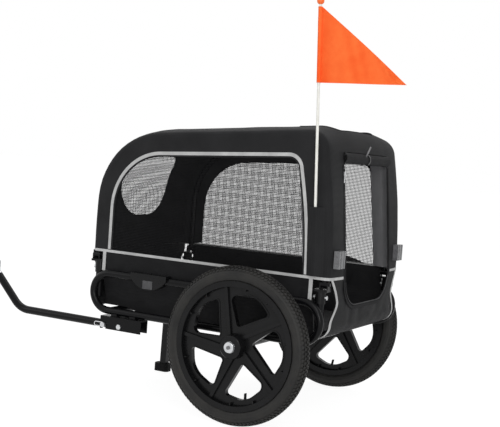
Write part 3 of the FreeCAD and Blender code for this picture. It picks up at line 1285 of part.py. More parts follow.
bounds = FreeCAD.BoundBox()
for made in nodes.values():
    bounds.add(made.Shape.BoundBox)
axle_x = -bounds.Center.x
for made in nodes.values():
    made.Placement = Placement(Vector(axle_x, 0, 0), Rotation()).multiply(made.Placement)
doc.recompute()

os.makedirs("parts", exist_ok=True)
for name, made in nodes.items():
    shape = made.Shape
    if shape.isNull() or not shape.isValid() or not shape.Solids:
        raise RuntimeError(f"{name} is not a valid solid")
    shape.exportStep(f"parts/{name}.step")
print(f"{len(nodes)} pieces, axle at x = {axle_x:.3f}")
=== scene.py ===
import bpy, bmesh, json, math
from mathutils import Matrix, Vector, noise


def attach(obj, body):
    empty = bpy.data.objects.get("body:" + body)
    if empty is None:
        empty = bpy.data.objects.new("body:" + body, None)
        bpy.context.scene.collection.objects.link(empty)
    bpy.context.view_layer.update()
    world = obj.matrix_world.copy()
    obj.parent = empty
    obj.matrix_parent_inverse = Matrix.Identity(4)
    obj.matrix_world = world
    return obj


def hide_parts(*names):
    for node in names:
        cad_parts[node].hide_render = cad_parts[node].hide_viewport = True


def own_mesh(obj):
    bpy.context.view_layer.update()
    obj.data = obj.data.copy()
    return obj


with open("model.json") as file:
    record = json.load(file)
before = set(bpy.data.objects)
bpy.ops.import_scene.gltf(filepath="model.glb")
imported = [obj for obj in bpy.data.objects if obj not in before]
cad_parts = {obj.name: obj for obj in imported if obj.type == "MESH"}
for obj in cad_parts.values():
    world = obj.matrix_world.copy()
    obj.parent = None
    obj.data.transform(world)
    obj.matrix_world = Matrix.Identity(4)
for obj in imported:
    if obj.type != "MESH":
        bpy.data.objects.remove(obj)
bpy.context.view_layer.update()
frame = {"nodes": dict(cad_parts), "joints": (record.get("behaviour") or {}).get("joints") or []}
joints = {joint["name"]: joint for joint in frame["joints"]}
axleX = joints["left_wheel_spin"]["pos_m"][0]  # sizes below are mm from the ground under the axle
sides = (("left", 1), ("right", -1))
print("frame loaded, axle at", round(axleX, 4))


def at(x, y, z):
    return Vector((axleX + x / 1000, y / 1000, z / 1000))


cabinMiddle, tubMiddle = at(150, 0, 500), at(150, 0, 330)  # the cloth faces away from these

camera = {"place": (-1172.8, 2467.5, 658.5), "yaw": -61.6125, "pitch": -3.3831, "roll": 4.1949,
          "focalPixels": 1000.2, "shiftPixels": (3.80, 6.94), "framePixels": 500}


def makeCamera():
    yaw, pitch, roll = (math.radians(camera[key]) for key in ("yaw", "pitch", "roll"))
    ahead = Vector((math.cos(yaw) * math.cos(pitch), math.sin(yaw) * math.cos(pitch), math.sin(pitch)))
    level = ahead.cross(Vector((0, 0, 1))).normalized()
    up = level.cross(ahead)
    right = level * math.cos(roll) + up * math.sin(roll)
    top = up * math.cos(roll) - level * math.sin(roll)
    lens = bpy.data.cameras.new("photoLens")
    lens.sensor_width = 36
    lens.lens = camera["focalPixels"] * 36 / camera["framePixels"]
    lens.shift_x, lens.shift_y = (pixels / camera["framePixels"] for pixels in camera["shiftPixels"])
    holder = bpy.data.objects.new("photoCamera", lens)
    turn = Matrix((right, top, -ahead)).transposed().to_4x4()
    holder.matrix_world = Matrix.Translation(at(*camera["place"])) @ turn
    bpy.context.scene.collection.objects.link(holder)
    bpy.context.scene.camera = holder


makeCamera()


def linear(code):  # sRGB hex to the linear colour that shaders take
    parts = [int(code[i:i + 2], 16) / 255 for i in (1, 3, 5)]
    return (*[p / 12.92 if p < 0.04045 else ((p + 0.055) / 1.055) ** 2.4 for p in parts], 1)


def add(tree, kind, inputs=None, **settings):
    node = tree.nodes.new("ShaderNode" + kind)
    for name, value in settings.items():
        setattr(node, name, value)
    for name, value in (inputs or {}).items():
        if isinstance(value, bpy.types.NodeSocket):
            tree.links.new(value, node.inputs[name])
        else:
            node.inputs[name].default_value = value
    return node


def bandScale(mm):  # wave texture scale for bands this far apart
    return math.pi / 10 / (mm / 1000)


def cellScale(mm):  # noise scale for features of this size
    return 1000 / mm


def finish(name, **values):
    made = bpy.data.materials.new(name)
    made.use_nodes = True
    shader = made.node_tree.nodes["Principled BSDF"]
    for key, value in values.items():
        shader.inputs[key].default_value = value
    return made, made.node_tree, shader


def wovenCloth(name, dark, light, threadMm, fadeMm, sheen, rough=0.7, bump=0.25):
    # plain weave with a coated face: matt, with a faint thread grid and slow fading
    made, tree, shader = finish(name, **{"Roughness": rough, "Sheen Weight": sheen, "Sheen Roughness": 0.45,
                                         "Specular IOR Level": 0.07})
    place = add(tree, "TexCoord").outputs["Object"]
    threads = [add(tree, "TexWave", {"Vector": place, "Scale": bandScale(threadMm)}, bands_direction=way)
               for way in "XYZ"]
    pair = add(tree, "Math", {0: threads[0].outputs["Fac"], 1: threads[1].outputs["Fac"]}, operation="ADD")
    weave = add(tree, "Math", {0: pair.outputs[0], 1: threads[2].outputs["Fac"]}, operation="ADD")
    fade = add(tree, "TexNoise", {"Vector": place, "Scale": cellScale(fadeMm), "Detail": 4, "Roughness": 0.6})
    share = add(tree, "Math", {0: weave.outputs[0], 1: 0.12, 2: fade.outputs["Fac"]}, operation="MULTIPLY_ADD")
    ramp = add(tree, "ValToRGB", {"Fac": share.outputs[0]})
    ramp.color_ramp.elements[0].position, ramp.color_ramp.elements[0].color = 0.35, linear(dark)
    ramp.color_ramp.elements[1].position, ramp.color_ramp.elements[1].color = 0.95, linear(light)
    raised = add(tree, "Bump", {"Height": weave.outputs[0], "Strength": bump, "Distance": threadMm / 4000})
    tree.links.new(ramp.outputs["Color"], shader.inputs["Base Color"])
    tree.links.new(raised.outputs["Normal"], shader.inputs["Normal"])
    return made


def grained(name, dark, light, grainMm, patchMm, bump, rough, shine=0.5, metal=0):
    # moulded, coated or plated face: fine grain in the relief, slow change in colour and gloss
    made, tree, shader = finish(name, **{"Roughness": rough, "Specular IOR Level": shine, "Metallic": metal})
    place = add(tree, "TexCoord").outputs["Object"]
    grain = add(tree, "TexNoise", {"Vector": place, "Scale": cellScale(grainMm), "Detail": 2})
    patch = add(tree, "TexNoise", {"Vector": place, "Scale": cellScale(patchMm), "Detail": 5, "Roughness": 0.65})
    ramp = add(tree, "ValToRGB", {"Fac": patch.outputs["Fac"]})
    ramp.color_ramp.elements[0].position, ramp.color_ramp.elements[0].color = 0.3, linear(dark)
    ramp.color_ramp.elements[1].position, ramp.color_ramp.elements[1].color = 0.75, linear(light)
    gloss = add(tree, "MapRange", {"Value": patch.outputs["Fac"], "From Min": 0.3, "From Max": 0.7,
                                   "To Min": rough * 0.85, "To Max": min(1, rough * 1.15)})
    raised = add(tree, "Bump", {"Height": grain.outputs["Fac"], "Strength": bump, "Distance": grainMm / 5000})
    tree.links.new(ramp.outputs["Color"], shader.inputs["Base Color"])
    tree.links.new(gloss.outputs["Result"], shader.inputs["Roughness"])
    tree.links.new(raised.outputs["Normal"], shader.inputs["Normal"])
    return made


# threads are about 0.5 mm apart and too fine to show, so they are drawn at 1.2 to 2.8 mm
# coated polyester: soft charcoal black and matt, with a faint grid of threads and slow fading
cabinCloth = wovenCloth("coatedPolyester", "#1d1d1e", "#2a2a2b", 2.4, 90, 0.03)
# polyester of the tub: drawn a shade darker than the cabin's, as painted shade under the belt and the tubes, with a
# coarser grid that catches grazing light
shadedTubCloth = wovenCloth("shadedTubPolyester", "#161617", "#232324", 2.8, 60, 0.02, rough=0.62, bump=0.35)
# tape with glass beads on a woven back: an even pale grey, the lightest line on the cabin
tapeCloth = wovenCloth("reflectiveTape", "#a6a6a6", "#cccccb", 2.0, 40, 0.05, rough=0.5, bump=0.4)
# the cabin's polyester rolled up tight: drawn nearly black, darker than on the cabin, as painted shade in the folds
# of the roll, with short changes of tone
shadedRollCloth = wovenCloth("shadedRolledPolyester", "#161617", "#262627", 2.4, 30, 0.02, bump=0.4)
# lining drawn mid grey and dull: painted light, so that the inside of the rear corners looks pale as if lit
paintedLightCloth = wovenCloth("paintedLightLining", "#747476", "#8c8c8e", 2.4, 80, 0.04)
# fine twill of the zip: flat black, so that the teeth show by their shape alone
zipCloth = wovenCloth("zipTape", "#141415", "#212122", 1.8, 30, 0.02)
# piping drawn a shade lighter than the cloth beside it: a painted highlight along the door's lower edge
highlightPipingCloth = wovenCloth("paintedHighlightPiping", "#3b3b3c", "#4c4c4d", 1.6, 30, 0.03)
# knitted net: thin black yarns that turn what is behind them grey
netYarn = wovenCloth("polyesterNet", "#141415", "#222223", 1.2, 50, 0.02)
# dyed flag cloth: clear warning orange, a little uneven
flagCloth = wovenCloth("flagPolyester", "#f4551f", "#ff7a3c", 1.6, 70, 0.05, rough=0.55, bump=0.15)

# grain from moulds and coatings is 0.1 to 0.3 mm and too fine to show, so it is drawn at 0.9 to 2 mm
# powder coat on steel tube: deep black, with long soft highlights on a faint orange peel
powderCoat = grained("powderCoat", "#0a0a0b", "#121214", 1.4, 80, 0.1, 0.24, shine=0.13)
# moulded nylon: black and half glossy, with a grain that dulls the highlights
nylon = grained("mouldedNylon", "#0b0b0c", "#151516", 0.9, 60, 0.15, 0.27, shine=0.17)
# vulcanised rubber: black gone a little brown and grey, as if dusty
tyreRubber = grained("tyreRubber", "#1a1a1a", "#2e2d2b", 1.6, 45, 0.3, 0.55, shine=0.22)
# soft rubber: dull black with hardly a highlight
softRubber = grained("softRubber", "#101010", "#1a1a1a", 1.2, 40, 0.2, 0.7, shine=0.1)
# zinc plating on steel: bright silver, slightly cloudy
zinc = grained("zincPlatedSteel", "#b9bbbd", "#d4d5d6", 1.0, 12, 0.08, 0.3, metal=1)
# black zinc on steel: a dark glint only
blackZinc = grained("blackZincSteel", "#29292b", "#3b3b3e", 1.0, 12, 0.08, 0.38, metal=1)
# drawn glass fibre rod: ivory white with a resin gloss
glassFibre = grained("glassFibreRod", "#dcdbd3", "#f1f0ea", 2.0, 40, 0.08, 0.38)
# moulded polyethylene: orange with a waxy half gloss
orangePlastic = grained("mouldedPolyethylene", "#f0651f", "#ff7f33", 1.5, 20, 0.08, 0.4)
# grey polycarbonate: smooth and shiny, with fine prisms that break up the shine
greyPlastic = grained("greyPolycarbonate", "#575759", "#6f6f71", 1.2, 14, 0.12, 0.28)
# smoked acrylic: a dark lens with sharp highlights on its prisms
smokedLens = grained("smokedAcrylic", "#2f2f31", "#434345", 1.6, 10, 0.25, 0.22)
# extruded twin-wall board: dark grey and dull
boardPlastic = grained("twinWallBoard", "#151516", "#222223", 2.0, 60, 0.15, 0.6)
print("finishes made")

nodeFinishes = {
    powderCoat: ["left_side_loop", "right_side_loop", "front_cross_tube", "rear_cross_tube", "axle_beam",
                 "corner_posts", "left_hoop", "right_hoop", "hitch_bracket", "drawbar"],
    nylon: ["axle_brackets", "hinge_brackets", "left_reflector_holder", "right_reflector_holder", "stand_bracket",
            "stand_leg"],
    blackZinc: ["hinge_pins"],
    zinc: ["frame_bolts", "drawbar_bolt", "lock_pin", "coupler", "hitch_adapter", "hitch_pin", "stand_pin",
           "left_axle", "right_axle", "left_bearings", "right_bearings"],
    softRubber: ["stand_foot"],
    greyPlastic: ["left_release_button", "right_release_button"],
    smokedLens: ["side_reflectors"],
    boardPlastic: ["floor_panel"],
    glassFibre: ["flag_pole"],
    orangePlastic: ["flag_tip"],
}
for material, names in nodeFinishes.items():
    for name in names:
        slots = frame["nodes"][name].data.materials
        slots.clear()
        slots.append(material)


def piece(name, mesh, material, body="frame"):
    data = bpy.data.meshes.new(name)
    mesh.to_mesh(data)
    mesh.free()
    made = bpy.data.objects.new(name, data)
    bpy.context.scene.collection.objects.link(made)
    data.materials.append(material)
    data.polygons.foreach_set("use_smooth", [True] * len(data.polygons))
    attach(made, body)
    return made


def settle(made):  # leaves the modifiers' result in the mesh
    shown = made.evaluated_get(bpy.context.evaluated_depsgraph_get())
    data = bpy.data.meshes.new_from_object(shown)
    made.modifiers.clear()
    made.data = data


def thicken(made, mm, offset=-1):
    wall = made.modifiers.new("wall", "SOLIDIFY")
    wall.thickness, wall.offset, wall.use_even_offset = mm / 1000, offset, True


def crisp(made, degrees=38):  # keeps edges sharp where faces turn by more than this
    made.data.set_sharp_from_angle(angle=math.radians(degrees))


def giveWall(made, mm, degrees=38, offset=-1):
    thicken(made, mm, offset)
    settle(made)
    crisp(made, degrees)


def copyOf(node):  # a CAD node's mesh with its loose triangles merged
    mesh = bmesh.new()
    mesh.from_mesh(frame["nodes"][node].data)
    bmesh.ops.remove_doubles(mesh, verts=mesh.verts, dist=1e-6)
    return mesh


def sized(sizes):  # a box's scale from its sizes in mm
    return Matrix.Diagonal((*[size / 1000 for size in sizes], 1))


def ease(share):  # 0 to 1, flat at both ends
    return share * share * (3 - 2 * share)


def formGrid(rows, columns, place):  # a grid whose points are set by row and column
    mesh = bmesh.new()
    bmesh.ops.create_grid(mesh, x_segments=rows, y_segments=columns, size=1)
    for point in mesh.verts:
        point.co = place(round((point.co.x + 1) / 2 * rows), round((point.co.y + 1) / 2 * columns))
    bmesh.ops.remove_doubles(mesh, verts=mesh.verts, dist=1e-6)
    return mesh


def faceAway(mesh, spot):  # turns an open sheet's faces away from a point
    mesh.normal_update()
    lean = sum(face.normal.dot(face.calc_center_median() - spot) * face.calc_area() for face in mesh.faces)
    if lean < 0:
        bmesh.ops.reverse_faces(mesh, faces=mesh.faces)
    mesh.normal_update()


def crumple(mesh, mm, sizeMm, seed, hold):  # moves points along their normals by a smooth noise
    for point in mesh.verts:
        rise = noise.noise(point.co * (1000 / sizeMm) + Vector((seed, seed * 2, 0)))
        rise += 0.5 * noise.noise(point.co * (2200 / sizeMm) + Vector((0, seed, seed)))
        point.co += point.normal * (mm / 1000) * rise * hold(point.co)


cabin = {"front": 505, "frontBulge": 10, "rear": 207, "rearBulge": 8, "roofFront": 702.5, "roofRise": 0.069,
         "crown": 21.5, "crownPower": 2.8, "edgeLean": 0.095, "rearLean": 0.098, "frontRound": 200, "edgeRound": 45,
         "rearRound": 70, "bow": 10.0, "bowTop": 690,
         "belt": 385.3, "half": 239.0, "cloth": 2.0, "soft": 13.0,
         "steps": (10, 14, 26, 10, 16), "sideSteps": 6, "roundSteps": 5, "topSteps": 30,
         "crease": 1.1, "creaseSize": 120, "still": 386, "stillRun": 50, "flank": 235, "flankCrease": 0.35}
folds = {"mm": 1.1, "perMetre": (75, 75, 5), "start": -60, "run": 100, "top": 720, "topRun": 60}
window = {"front": 442, "rear": 136, "lean": 0.12, "top": 646, "rise": 0.054, "frontRound": 147, "rearRound": 27,
          "base": 391.5, "bow": 7.0}


def cabinEdge(across, inset=0):  # corners and bends of the cabin's outline at a share of its half width
    middle, wrap = 1 - across ** 4, 1 - across ** 6
    lean = cabin["edgeLean"] + wrap * (cabin["rearLean"] - cabin["edgeLean"])
    frontX = cabin["front"] + middle * cabin["frontBulge"] - inset
    rearX = -cabin["rear"] - wrap * cabin["rearBulge"] + inset
    slope, base = cabin["roofRise"], cabin["belt"]
    roof = cabin["roofFront"] + (1 - across ** cabin["crownPower"]) * cabin["crown"] - inset
    frontZ = roof + (cabin["front"] - frontX) * slope
    rearZ = (roof + (cabin["front"] - rearX) * slope + slope * lean * base) / (1 + slope * lean)
    bend = cabin["edgeRound"] + wrap * (cabin["rearRound"] - cabin["edgeRound"])
    corners = ((frontX, base), (frontX, frontZ), (rearX + (rearZ - base) * lean, rearZ), (rearX, base))
    return corners, (cabin["frontRound"] - inset, bend - inset)


def windowEdge(grow=0):  # the side window's outline, grown by a margin
    slope, lean, base = window["rise"], window["lean"], window["base"]
    frontX, rearX, topZ = window["front"] + grow, -window["rear"] - grow, window["top"] + grow
    rearZ = (topZ + (frontX - rearX) * slope + slope * lean * base) / (1 + slope * lean)
    corners = ((frontX, base), (frontX, topZ), (rearX + (rearZ - base) * lean, rearZ), (rearX, base))
    return corners, (window["frontRound"] + grow, window["rearRound"] + grow)


def alongBends(edge, s):  # point at s from 0 to 5: straight, bend, straight, bend, straight
    (a, b, c, d), radii = [Vector(spot) for spot in edge[0]], edge[1]
    stops, centres = [a], []
    for before, corner, after, radius in ((a, b, c, radii[0]), (b, c, d, radii[1])):
        back, on = (before - corner).normalized(), (after - corner).normalized()
        half = back.angle(on) / 2
        stops += [corner + back * (radius / math.tan(half)), corner + on * (radius / math.tan(half))]
        centres.append(corner + (back + on).normalized() * (radius / math.sin(half)))
    stops.append(d)
    stretch = min(int(s), 4)
    share = s - stretch
    start, end = stops[stretch], stops[stretch + 1]
    if stretch in (1, 3):
        centre = centres[stretch // 2]
        way = (start - centre).normalized().slerp((end - centre).normalized(), share)
        return centre + way * radii[stretch // 2]
    return start.lerp(end, share)


def windowSpot(grow, s):  # the window's rear edge is pulled back a little at half its height
    spot = alongBends(windowEdge(grow), s)
    return spot - Vector((window["bow"] * math.sin(math.pi * max(0, s - 4)), 0))


def cabinSpot(across, inset, s):  # the rear edges are drawn out between belt and roof
    spot = alongBends(cabinEdge(across, inset), s)
    return spot - Vector((cabin["bow"] * across ** 4 * math.sin(math.pi * max(0, s - 4)), 0))


def stations(counts):
    return [stretch + i / count for stretch, count in enumerate(counts) for i in range(count)] + [len(counts)]


def rearX(y, z):  # outer face of the rear cloth, and of the apron below the belt
    across = min(1, abs(y) / cabin["half"])
    low, high = [cabinEdge(across)[0][i] for i in (3, 2)]
    if z <= cabin["belt"]:
        return low[0]
    share = min(1, (cabin["bowTop"] - z) / (cabin["bowTop"] - cabin["belt"]))
    drawn = cabin["bow"] * across ** 4 * math.sin(math.pi * max(0, share))
    return low[0] + (z - low[1]) * (high[0] - low[0]) / (high[1] - low[1]) - drawn


# openings in the cloth: "start" is where the cutter begins, "push" how far it goes
door = {"half": 150, "low": 312, "high": 700, "round": 74, "topRound": 4, "start": -320, "push": 230}
hatch = {"half": 145, "front": -38, "rear": -152, "round": 45, "start": 690, "push": 150}
pane = {"half": 118, "low": 478, "high": 655, "round": 96, "topRound": 30, "start": 560, "push": -170}


def cutter(corners, rounds, push):  # a rounded outline pushed through the cloth
    mesh = bmesh.new()
    points = [mesh.verts.new(at(*corner)) for corner in corners]
    mesh.faces.new(points)
    for group, radius in rounds:
        bmesh.ops.bevel(mesh, geom=[points[i] for i in group], affect="VERTICES", offset=radius / 1000, segments=8,
                        profile=0.5, material=-1, offset_type="OFFSET")
    pushed = bmesh.ops.extrude_face_region(mesh, geom=list(mesh.faces))
    moved = [item for item in pushed["geom"] if isinstance(item, bmesh.types.BMVert)]
    bmesh.ops.translate(mesh, verts=moved, vec=Vector(push) / 1000)
    bmesh.ops.recalc_face_normals(mesh, faces=mesh.faces)
    data = bpy.data.meshes.new("cutter")
    mesh.to_mesh(data)
    mesh.free()
    made = bpy.data.objects.new("cutter", data)
    bpy.context.scene.collection.objects.link(made)
    return made


def uprightCutter(opening):  # for the door and the front pane
    x, half, low, high = [opening[key] for key in ("start", "half", "low", "high")]
    return cutter([(x, -half, low), (x, half, low), (x, half, high), (x, -half, high)],
                  [((0, 1), opening["round"]), ((2, 3), opening["topRound"])], (opening["push"], 0, 0))


def hatchCutter():
    half, front, rear, z = [hatch[key] for key in ("half", "front", "rear", "start")]
    return cutter([(rear, -half, z), (front, -half, z), (front, half, z), (rear, half, z)],
                  [((0, 1, 2, 3), hatch["round"])], (0, 0, hatch["push"]))


def cutAway(made, cutters):
    for tool in cutters:
        gap = made.modifiers.new("gap", "BOOLEAN")
        gap.operation, gap.solver, gap.object = "DIFFERENCE", "EXACT", tool
    settle(made)
    for tool in cutters:
        bpy.data.objects.remove(tool)


def makeCabin():
    half, soft = cabin["half"], cabin["soft"]
    along = stations(cabin["steps"])
    side = [("side", i / cabin["sideSteps"]) for i in range(cabin["sideSteps"])]
    turn = [("round", math.pi / 2 * i / cabin["roundSteps"]) for i in range(cabin["roundSteps"])]
    flatHalf = half - soft
    top = [("top", flatHalf - 2 * flatHalf * i / cabin["topSteps"]) for i in range(cabin["topSteps"] + 1)]
    cross = [(1, *spot) for spot in side + turn + top] + [(-1, *spot) for spot in (side + turn)[::-1]]

    def place(i, j):
        s = along[i]
        sign, part, share = cross[j]
        if part == "side":
            spot = windowSpot(0, s).lerp(cabinSpot(1, soft, s), share)
            return at(spot.x, sign * half, spot.y)
        if part == "round":
            y = half - soft + soft * math.cos(share)
            spot = cabinSpot(y / half, soft - soft * math.sin(share), s)
            return at(spot.x, sign * y, spot.y)
        spot = cabinSpot(abs(share) / half, 0, s)
        return at(spot.x, share, spot.y)

    mesh = formGrid(len(along) - 1, len(cross) - 1, place)
    faceAway(mesh, cabinMiddle)

    def hold(spot):  # the cloth lies still at the belt and along the window's tape
        rise = min(1, max(0, (spot.z * 1000 - cabin["still"]) / cabin["stillRun"]))
        return rise * (cabin["flankCrease"] if abs(spot.y) * 1000 > cabin["flank"] else 1)

    crumple(mesh, cabin["crease"], cabin["creaseSize"], 3, hold)
    for point in mesh.verts:  # upright folds towards the rear corners
        fold = noise.noise(point.co * Vector(folds["perMetre"]))
        x, z = (point.co.x - axleX) * 1000, point.co.z * 1000
        near = min(1, max(0, (folds["start"] - x) / folds["run"]))
        near *= min(1, max(0, (folds["top"] - z) / folds["topRun"]))
        point.co += point.normal * (folds["mm"] / 1000) * fold * near * hold(point.co)
    made = piece("cabin_cloth", mesh, cabinCloth)
    thicken(made, cabin["cloth"])
    cutAway(made, [uprightCutter(door), hatchCutter(), uprightCutter(pane)])
    crisp(made, 50)
    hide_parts("roof_cover", "rear_cover", "left_cover", "right_cover")
    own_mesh(made)


makeCabin()
print("cabin cloth made")


net = {"pitch": 4.2, "strands": {"left_window_net": 0.76, "right_window_net": 1.55, "front_window_net": 1.5},
       "gap": 0.9, "tuck": 4.0, "frontGap": 1.9}  # mm; coarser than a real net, so that it shows


def insideWindow(ring, x, z):  # whether a point is inside the window's outline
    hits = 0
    for a, b in zip(ring, ring[1:] + ring[:1]):
        if (a.y > z) != (b.y > z) and x < a.x + (z - a.y) * (b.x - a.x) / (b.y - a.y):
            hits += 1
    return hits % 2 == 1


def openNet(name, mesh):  # leaves each face's border as flat strands
    strand = net["strands"][name] / 2000
    inner = bmesh.ops.inset_individual(mesh, faces=mesh.faces, thickness=strand, use_even_offset=True)
    strands = set(inner["faces"])
    bmesh.ops.delete(mesh, geom=[face for face in mesh.faces if face not in strands], context="FACES_ONLY")


def makeSideNet(name, sign):
    ring = [windowSpot(net["tuck"], s) for s in stations((2, 12, 4, 8, 8))]
    low, high = min(spot.x for spot in ring), max(spot.x for spot in ring)
    base, top = window["base"] - net["tuck"], max(spot.y for spot in ring)
    columns, lines = round((high - low) / net["pitch"]), round((top - base) / net["pitch"])
    y = sign * (cabin["half"] - cabin["cloth"] - net["gap"])
    mesh = formGrid(columns, lines,
                    lambda i, j: at(low + (high - low) * i / columns, y, base + (top - base) * j / lines))
    middles = {face: (face.calc_center_median() - at(0, 0, 0)) * 1000 for face in mesh.faces}
    outside = [face for face, spot in middles.items()
               if spot.z > window["base"] and not insideWindow(ring, spot.x, spot.z)]
    bmesh.ops.delete(mesh, geom=outside, context="FACES")
    faceAway(mesh, cabinMiddle)
    openNet(name, mesh)
    made = piece(name, mesh, netYarn)
    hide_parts(name.replace("_net", "_mesh"))
    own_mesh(made)


for side, sign in sides:
    makeSideNet(f"{side}_window_net", sign)
print("side nets made")


def gather(meshes):  # several meshes as one
    whole = bmesh.new()
    for mesh in meshes:
        data = bpy.data.meshes.new("part")
        mesh.to_mesh(data)
        mesh.free()
        whole.from_mesh(data)
        bpy.data.meshes.remove(data)
    return whole


def frontX(y, z):  # outer face of the front cloth
    edge, low, high = cabinEdge(abs(y) / cabin["half"]), 0.0, 2.0
    for _ in range(22):
        middle = (low + high) / 2
        low, high = (middle, high) if alongBends(edge, middle).y < z else (low, middle)
    return alongBends(edge, low).x


def insidePane(y, z, grow):
    half, low, high = pane["half"] + grow, pane["low"] - grow, pane["high"] + grow
    bend = (pane["round"] if z < (low + high) / 2 else pane["topRound"]) + grow
    outY, outZ = abs(y) - (half - bend), max(low + bend - z, z - (high - bend))
    return abs(y) < half and low < z < high and (outY < 0 or outZ < 0 or math.hypot(outY, outZ) < bend)


def makeFrontNet():
    grow, pitch = net["tuck"], net["pitch"]
    half, low, high = pane["half"] + grow, pane["low"] - grow, pane["high"] + grow
    columns, lines = round(2 * half / pitch), round((high - low) / pitch)
    depth = cabin["cloth"] + net["frontGap"]

    def place(i, j):
        y, z = -half + 2 * half * i / columns, low + (high - low) * j / lines
        return at(frontX(y, z) - depth, y, z)

    mesh = formGrid(columns, lines, place)
    middles = {face: face.calc_center_median() * 1000 for face in mesh.faces}
    outside = [face for face, spot in middles.items() if not insidePane(spot.y, spot.z, grow)]
    bmesh.ops.delete(mesh, geom=outside, context="FACES")
    faceAway(mesh, cabinMiddle)
    openNet("front_window_net", mesh)
    made = piece("front_window_net", mesh, netYarn)
    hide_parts("front_window_mesh")
    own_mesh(made)


makeFrontNet()


def ribbon(left, right, spot, columns=4):  # a tape between two rows of points
    mesh = formGrid(len(left) - 1, columns, lambda i, j: left[i].lerp(right[i], j / columns))
    faceAway(mesh, spot)
    return mesh


tape = {"inner": 4.5, "outer": 13.0, "belt": 7.0, "beltLow": 382.5, "beltEnd": 164, "edge": 10.0, "edgeLow": 0.35,
        "thick": 0.9, "edgeThick": 0.7, "clear": 0.05}


def makeWindowTapes():
    along = stations((8, 24, 24, 16, 14))
    strips = []
    for sign in (1, -1):
        y = sign * (cabin["half"] + tape["clear"])
        inner, outer = [[at(spot.x, y, spot.y) for spot in (windowSpot(grow, s) for s in along)]
                        for grow in (tape["inner"], tape["outer"])]
        strips.append(ribbon(inner, outer, cabinMiddle))
    made = piece("window_tape", gather(strips), tapeCloth)
    giveWall(made, tape["thick"], offset=1)
    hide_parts("window_tapes")
    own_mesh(made)


def beltPlan():  # rear end, left side and front of the belt, mirrored to the right
    half, soft = cabin["half"], cabin["soft"]
    angles = [math.pi / 16 * i for i in range(9)]
    turn = [(half - soft + soft * math.cos(a), soft - soft * math.sin(a)) for a in angles]

    def across(s, y, inset=0):
        return alongBends(cabinEdge(y / half, inset), s).x, y

    left = [across(5, tape["beltEnd"] + (half - soft - tape["beltEnd"]) * i / 6) for i in range(6)]
    left += [across(5, *spot) for spot in turn[::-1]]
    start, end = left[-1][0], across(0, *turn[0])[0]
    left += [(start + (end - start) * i / 30, half) for i in range(1, 30)]
    left += [across(0, *spot) for spot in turn]
    left += [across(0, (half - soft) * (1 - i / 10)) for i in range(1, 11)]
    return left + [(x, -y) for x, y in left[-2::-1]]


def makeBelt():
    plan = beltPlan()
    low, high = [[at(x, y, z) for x, y in plan] for z in (tape["beltLow"], tape["beltLow"] + tape["belt"])]
    made = piece("belt_band", ribbon(low, high, tubMiddle), tapeCloth)
    giveWall(made, tape["thick"], offset=1)
    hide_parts("belt_tape")


makeWindowTapes()
makeBelt()
print("tapes made")

binding = {"height": 1.2, "sink": 9.5, "thick": 1.2, "turnSteps": 64, "step": 12}


def roofZ(x, y):  # outer face of the roof cloth
    low, high = 2.0, 4.0
    for _ in range(24):
        s = (low + high) / 2
        low, high = (s, high) if cabinSpot(abs(y) / cabin["half"], 0, s).x > x else (low, s)
    return cabinSpot(abs(y) / cabin["half"], 0, low).y


def makeHatchBinding():  # black binding round the edge of the roof hatch
    bend, middle, reach = hatch["round"], (hatch["front"] + hatch["rear"]) / 2, (hatch["front"] - hatch["rear"]) / 2
    ring = []
    for i in range(binding["turnSteps"]):
        a = 2 * math.pi * i / binding["turnSteps"]
        ring.append((middle + math.copysign(reach - bend, math.cos(a)) + bend * math.cos(a),
                     math.copysign(hatch["half"] - bend, math.sin(a)) + bend * math.sin(a)))
    smooth = []
    for a, b in zip(ring, ring[1:] + ring[:1]):
        steps = max(1, round(math.dist(a, b) / binding["step"]))
        smooth += [(a[0] + (b[0] - a[0]) * i / steps, a[1] + (b[1] - a[1]) * i / steps) for i in range(steps)]
    smooth.append(smooth[0])
    low, high = [[at(x, y, roofZ(x, y) + rise) for x, y in smooth]
                 for rise in (-binding["sink"], binding["height"])]
    made = piece("hatch_binding", ribbon(low, high, at(middle, 0, 740)), zipCloth)
    giveWall(made, binding["thick"], offset=1)
    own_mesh(made)


lining = {"low": 387, "high": 674, "in": 23, "turn": 0.62, "further": 5, "rearAt": 205, "rearGap": 3.5,
          "sideGap": 2.6, "overlap": 1}


def makeLining(side, sign):  # hides the hoop's rear leg inside the cabin
    rows, columns = 24, 16

    def place(i, j):
        z, t = lining["low"] + (lining["high"] - lining["low"]) * i / rows, j / columns
        start = -window["rear"] + window["lean"] * (z - window["base"]) - lining["overlap"]
        end = rearX(lining["rearAt"], z) + lining["rearGap"]
        y = cabin["half"] - lining["sideGap"] - lining["in"] * math.sin(min(1, t / lining["turn"]) * math.pi / 2)
        y -= lining["further"] * max(0, t - lining["turn"]) / (1 - lining["turn"])
        return at(start + (end - start) * t, sign * y, z)

    mesh = formGrid(rows, columns, place)
    faceAway(mesh, at(-160, sign * 400, 520))
    # the lining's mid grey is painted light on the inside of the rear corners
    made = piece(side + "_lining", mesh, paintedLightCloth)
    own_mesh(made)


def makeFolding(name, node, material):  # a small part sewn to the cloth, so it goes down with it
    made = piece(name, copyOf(node), material)
    crisp(made, 12)
    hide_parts(node)
    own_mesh(made)


makeHatchBinding()
for side, sign in sides:
    makeLining(side, sign)
makeFolding("rear_lenses", "rear_reflectors", greyPlastic)
makeFolding("zip_pull", "zip_slider", zinc)
print("cabin trim made")

